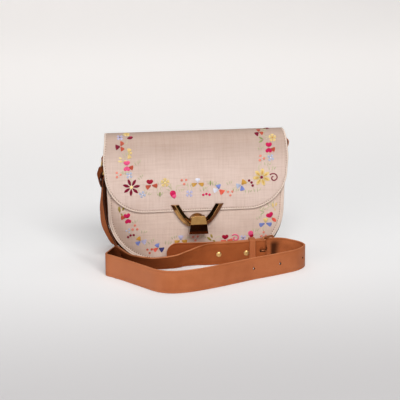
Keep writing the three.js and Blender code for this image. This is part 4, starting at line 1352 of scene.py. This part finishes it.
def makeKeeper():
    shell = Shell()
    wall, half = keeper["wall"], keeper["width"] / 2
    xAxis = Vector((math.cos(keeper["turn"]), math.sin(keeper["turn"]), 0))
    yAxis = Vector((-xAxis.y, xAxis.x, 0))
    middle = Vector(keeper["place"])
    line = [(inward - half, rise) for inward, rise in keeper["bead"]]
    line += [(-e, f) for e, f in reversed(line[:-1])]
    line += [(-e, -f) for e, f in line[1:-1]]
    loops = []
    for y, z, wayY, wayZ in roundedRectangle((keeper["depth"] + wall) / 2, (keeper["high"] + wall) / 2,
                                             keeper["corner"], keeper["steps"]):
        out = yAxis * wayY + upright * wayZ
        at = middle + yAxis * y + upright * z
        loops.append([shell.add(at + xAxis * e + out * f) for e, f in line])
    shell.loft(loops + loops[:1], capped=False)
    return shell.piece("strapKeeper", [leather])


dress(makeKeeper(), "tan_leather", "strap_keeper")

studs = {"radius": 2.9, "rise": 1.6, "sunk": 0.06, "sides": 28, "domeSteps": 6,
         "rim": [(0.9, 0), (1, 0.12), (1, 0.3), (0.96, 0.4), (0.86, 0.42), (0.83, 0.5)],
         "places": {"stud_1": (21.8, -49.6, 12.4, -0.02), "stud_2": (52.3, -52.2, 13.4, -0.11)}}


def makeStud(name, x, y, z, turn):
    # a domed head with a fine step round its rim
    shell = Shell()
    out = Vector((math.sin(turn), -math.cos(turn), 0))
    across = Vector((math.cos(turn), math.sin(turn), 0))
    base = Vector((x, y - strap["thick"] / 2 - studs["sunk"], z))
    rimShare, rimRise = studs["rim"][-1]
    levels = list(studs["rim"])
    for i in range(1, studs["domeSteps"]):
        lean = math.pi / 2 * i / studs["domeSteps"]
        levels.append((rimShare * math.cos(lean), rimRise + (1 - rimRise) * math.sin(lean)))
    turns = [2 * math.pi * k / studs["sides"] for k in range(studs["sides"])]
    ways = [across * math.cos(turned) + upright * math.sin(turned) for turned in turns]
    loops = []
    for share, rise in levels:
        centre, reach = base + out * (rise * studs["rise"]), share * studs["radius"]
        loops.append([shell.add(centre + way * reach) for way in ways])
    shell.loft(loops)
    return shell.piece(name + "Head", [metals["satinGold"]])


for name, spot in studs["places"].items():
    dress(makeStud(name, *spot), "gold_metal", name)
print("keeper and studs made")

# Clasp: the frame's own solids, with their edges eased so they catch the light
clasp = {
    # node: piece, width of the eased edge, metal, body
    "clasp_frame": ("claspHorns", 0.32, "paleGold", "bag"),
    "clasp_base": ("claspPlate", 0.3, "plateGold", "bag"),
    "clasp_pin": ("claspPin", 0.15, "plateGold", "bag"),
    "clasp_lever": ("claspLever", 0.35, "leverGold", "lever"),
}
easing = {"sharp": 14, "flat": 0.6, "join": 0.01, "segments": 3, "profile": 0.6}


def easeEdges(node, name, width, metal, ridesOn):
    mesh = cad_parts[node].data.copy()
    mesh.name = name
    work = bmesh.new()
    work.from_mesh(mesh)
    bmesh.ops.remove_doubles(work, verts=work.verts, dist=easing["join"] * mm)
    flat = math.radians(easing["flat"])
    bmesh.ops.dissolve_limit(work, angle_limit=flat, verts=work.verts, edges=work.edges)
    limit = math.radians(easing["sharp"])
    sharp = [edge for edge in work.edges if len(edge.link_faces) == 2 and edge.calc_face_angle(0) > limit]
    bmesh.ops.bevel(work, geom=sharp, offset=width * mm, segments=easing["segments"],
                    profile=easing["profile"], affect="EDGES", clamp_overlap=True)
    bmesh.ops.triangulate(work, faces=[face for face in work.faces if len(face.verts) > 4])
    work.to_mesh(mesh)
    work.free()
    mesh.materials.clear()
    mesh.materials.append(metals[metal])
    for polygon in mesh.polygons:
        polygon.use_smooth = True
    made = bpy.data.objects.new(name, mesh)
    scene.collection.objects.link(made)
    made.modifiers.new("evenNormals", "WEIGHTED_NORMAL").keep_sharp = True
    dress(made, "gold_metal", node, body=ridesOn)


for node, spec in clasp.items():
    easeEdges(node, *spec)
print("clasp made")

# Stage: a pale sweep and broad soft lights
stage = {
    "near": (0.5, 0.49, 0.495, 1), "middle": (0.828, 0.828, 0.834, 1), "far": (0.9, 0.88, 0.868, 1),
    "farGlow": (2.26, 2.17, 2.12, 1), "nearFade": (-0.5, 0.05), "farFade": (-0.05, 1.3), "glow": 0.2,
    "half": 0.9, "front": -2.2, "back": 2.7, "bend": 0.5, "bendSteps": 12, "tall": 1.2,
}


def makeStage():
    # the sweep is painted darker towards the viewer as shade, where the light falls off
    shade = Shade("paleSweep")
    depth = shade.axis(shade.place(), 1)
    colour = shade.mix(depth.rise(*stage["nearFade"]), stage["near"], stage["middle"])
    shine = shade.mix(depth.rise(*stage["farFade"]), colour, stage["farGlow"])
    colour = shade.mix(depth.rise(*stage["farFade"]), colour, stage["far"])
    material = shade.surface({"Base Color": colour, "Roughness": 0.85, "Specular IOR Level": 0.2,
                              "Emission Color": shine, "Emission Strength": stage["glow"]})
    shell = Shell()
    back, bend = stage["back"], stage["bend"]
    line = [(stage["front"], 0), (back - bend, 0)]
    for i in range(1, stage["bendSteps"] + 1):
        turn = math.pi / 2 * i / stage["bendSteps"]
        line.append((back - bend * (1 - math.sin(turn)), bend * (1 - math.cos(turn))))
    line.append((back, stage["tall"]))
    rows = [[shell.add(Vector((x, y, z)) / mm) for x in (-stage["half"], stage["half"])] for y, z in line]
    for first, second in zip(rows, rows[1:]):
        shell.strip(first, second)
    shell.piece("paleSweep", [material])


lights = {
    # place, aim, width, height, watts, colour
    "keyBox": ((0.1, -2.0, 1.75), (0, 0, 0.06), 1.6, 0.9, 56, (1, 0.985, 0.97)),
    "topBox": ((0.1, 0.25, 2.1), (0, 0.1, 0), 2.0, 1.6, 14, (1, 1, 1)),
    "lowCard": ((0.35, -2.4, 0.95), (0, 0, 0.06), 1.3, 0.8, 2.3, (1, 0.98, 0.95)),
    "fillCard": ((-1.5, -1.75, 0.4), (0, 0, 0.06), 1.1, 0.6, 12, (1, 0.99, 0.98)),
}
room = ((0.9, 0.89, 0.88, 1), 0.03)  # colour and strength of what lies round the stage


def makeLights():
    for name, (place, aim, width, height, watts, colour) in lights.items():
        data = bpy.data.lights.new(name, "AREA")
        data.shape = "RECTANGLE"
        data.size, data.size_y = width, height
        data.energy = watts
        data.color = colour
        lamp = bpy.data.objects.new(name, data)
        lamp.location = place
        lamp.rotation_euler = (Vector(aim) - Vector(place)).to_track_quat("-Z", "Y").to_euler()
        scene.collection.objects.link(lamp)
    world = bpy.data.worlds.new("softRoom")
    world.use_nodes = True
    sky = world.node_tree.nodes["Background"]
    sky.inputs["Color"].default_value, sky.inputs["Strength"].default_value = room
    scene.world = world
    scene.view_settings.view_transform = "Standard"


makeStage()
makeLights()
print("stage and lights set")
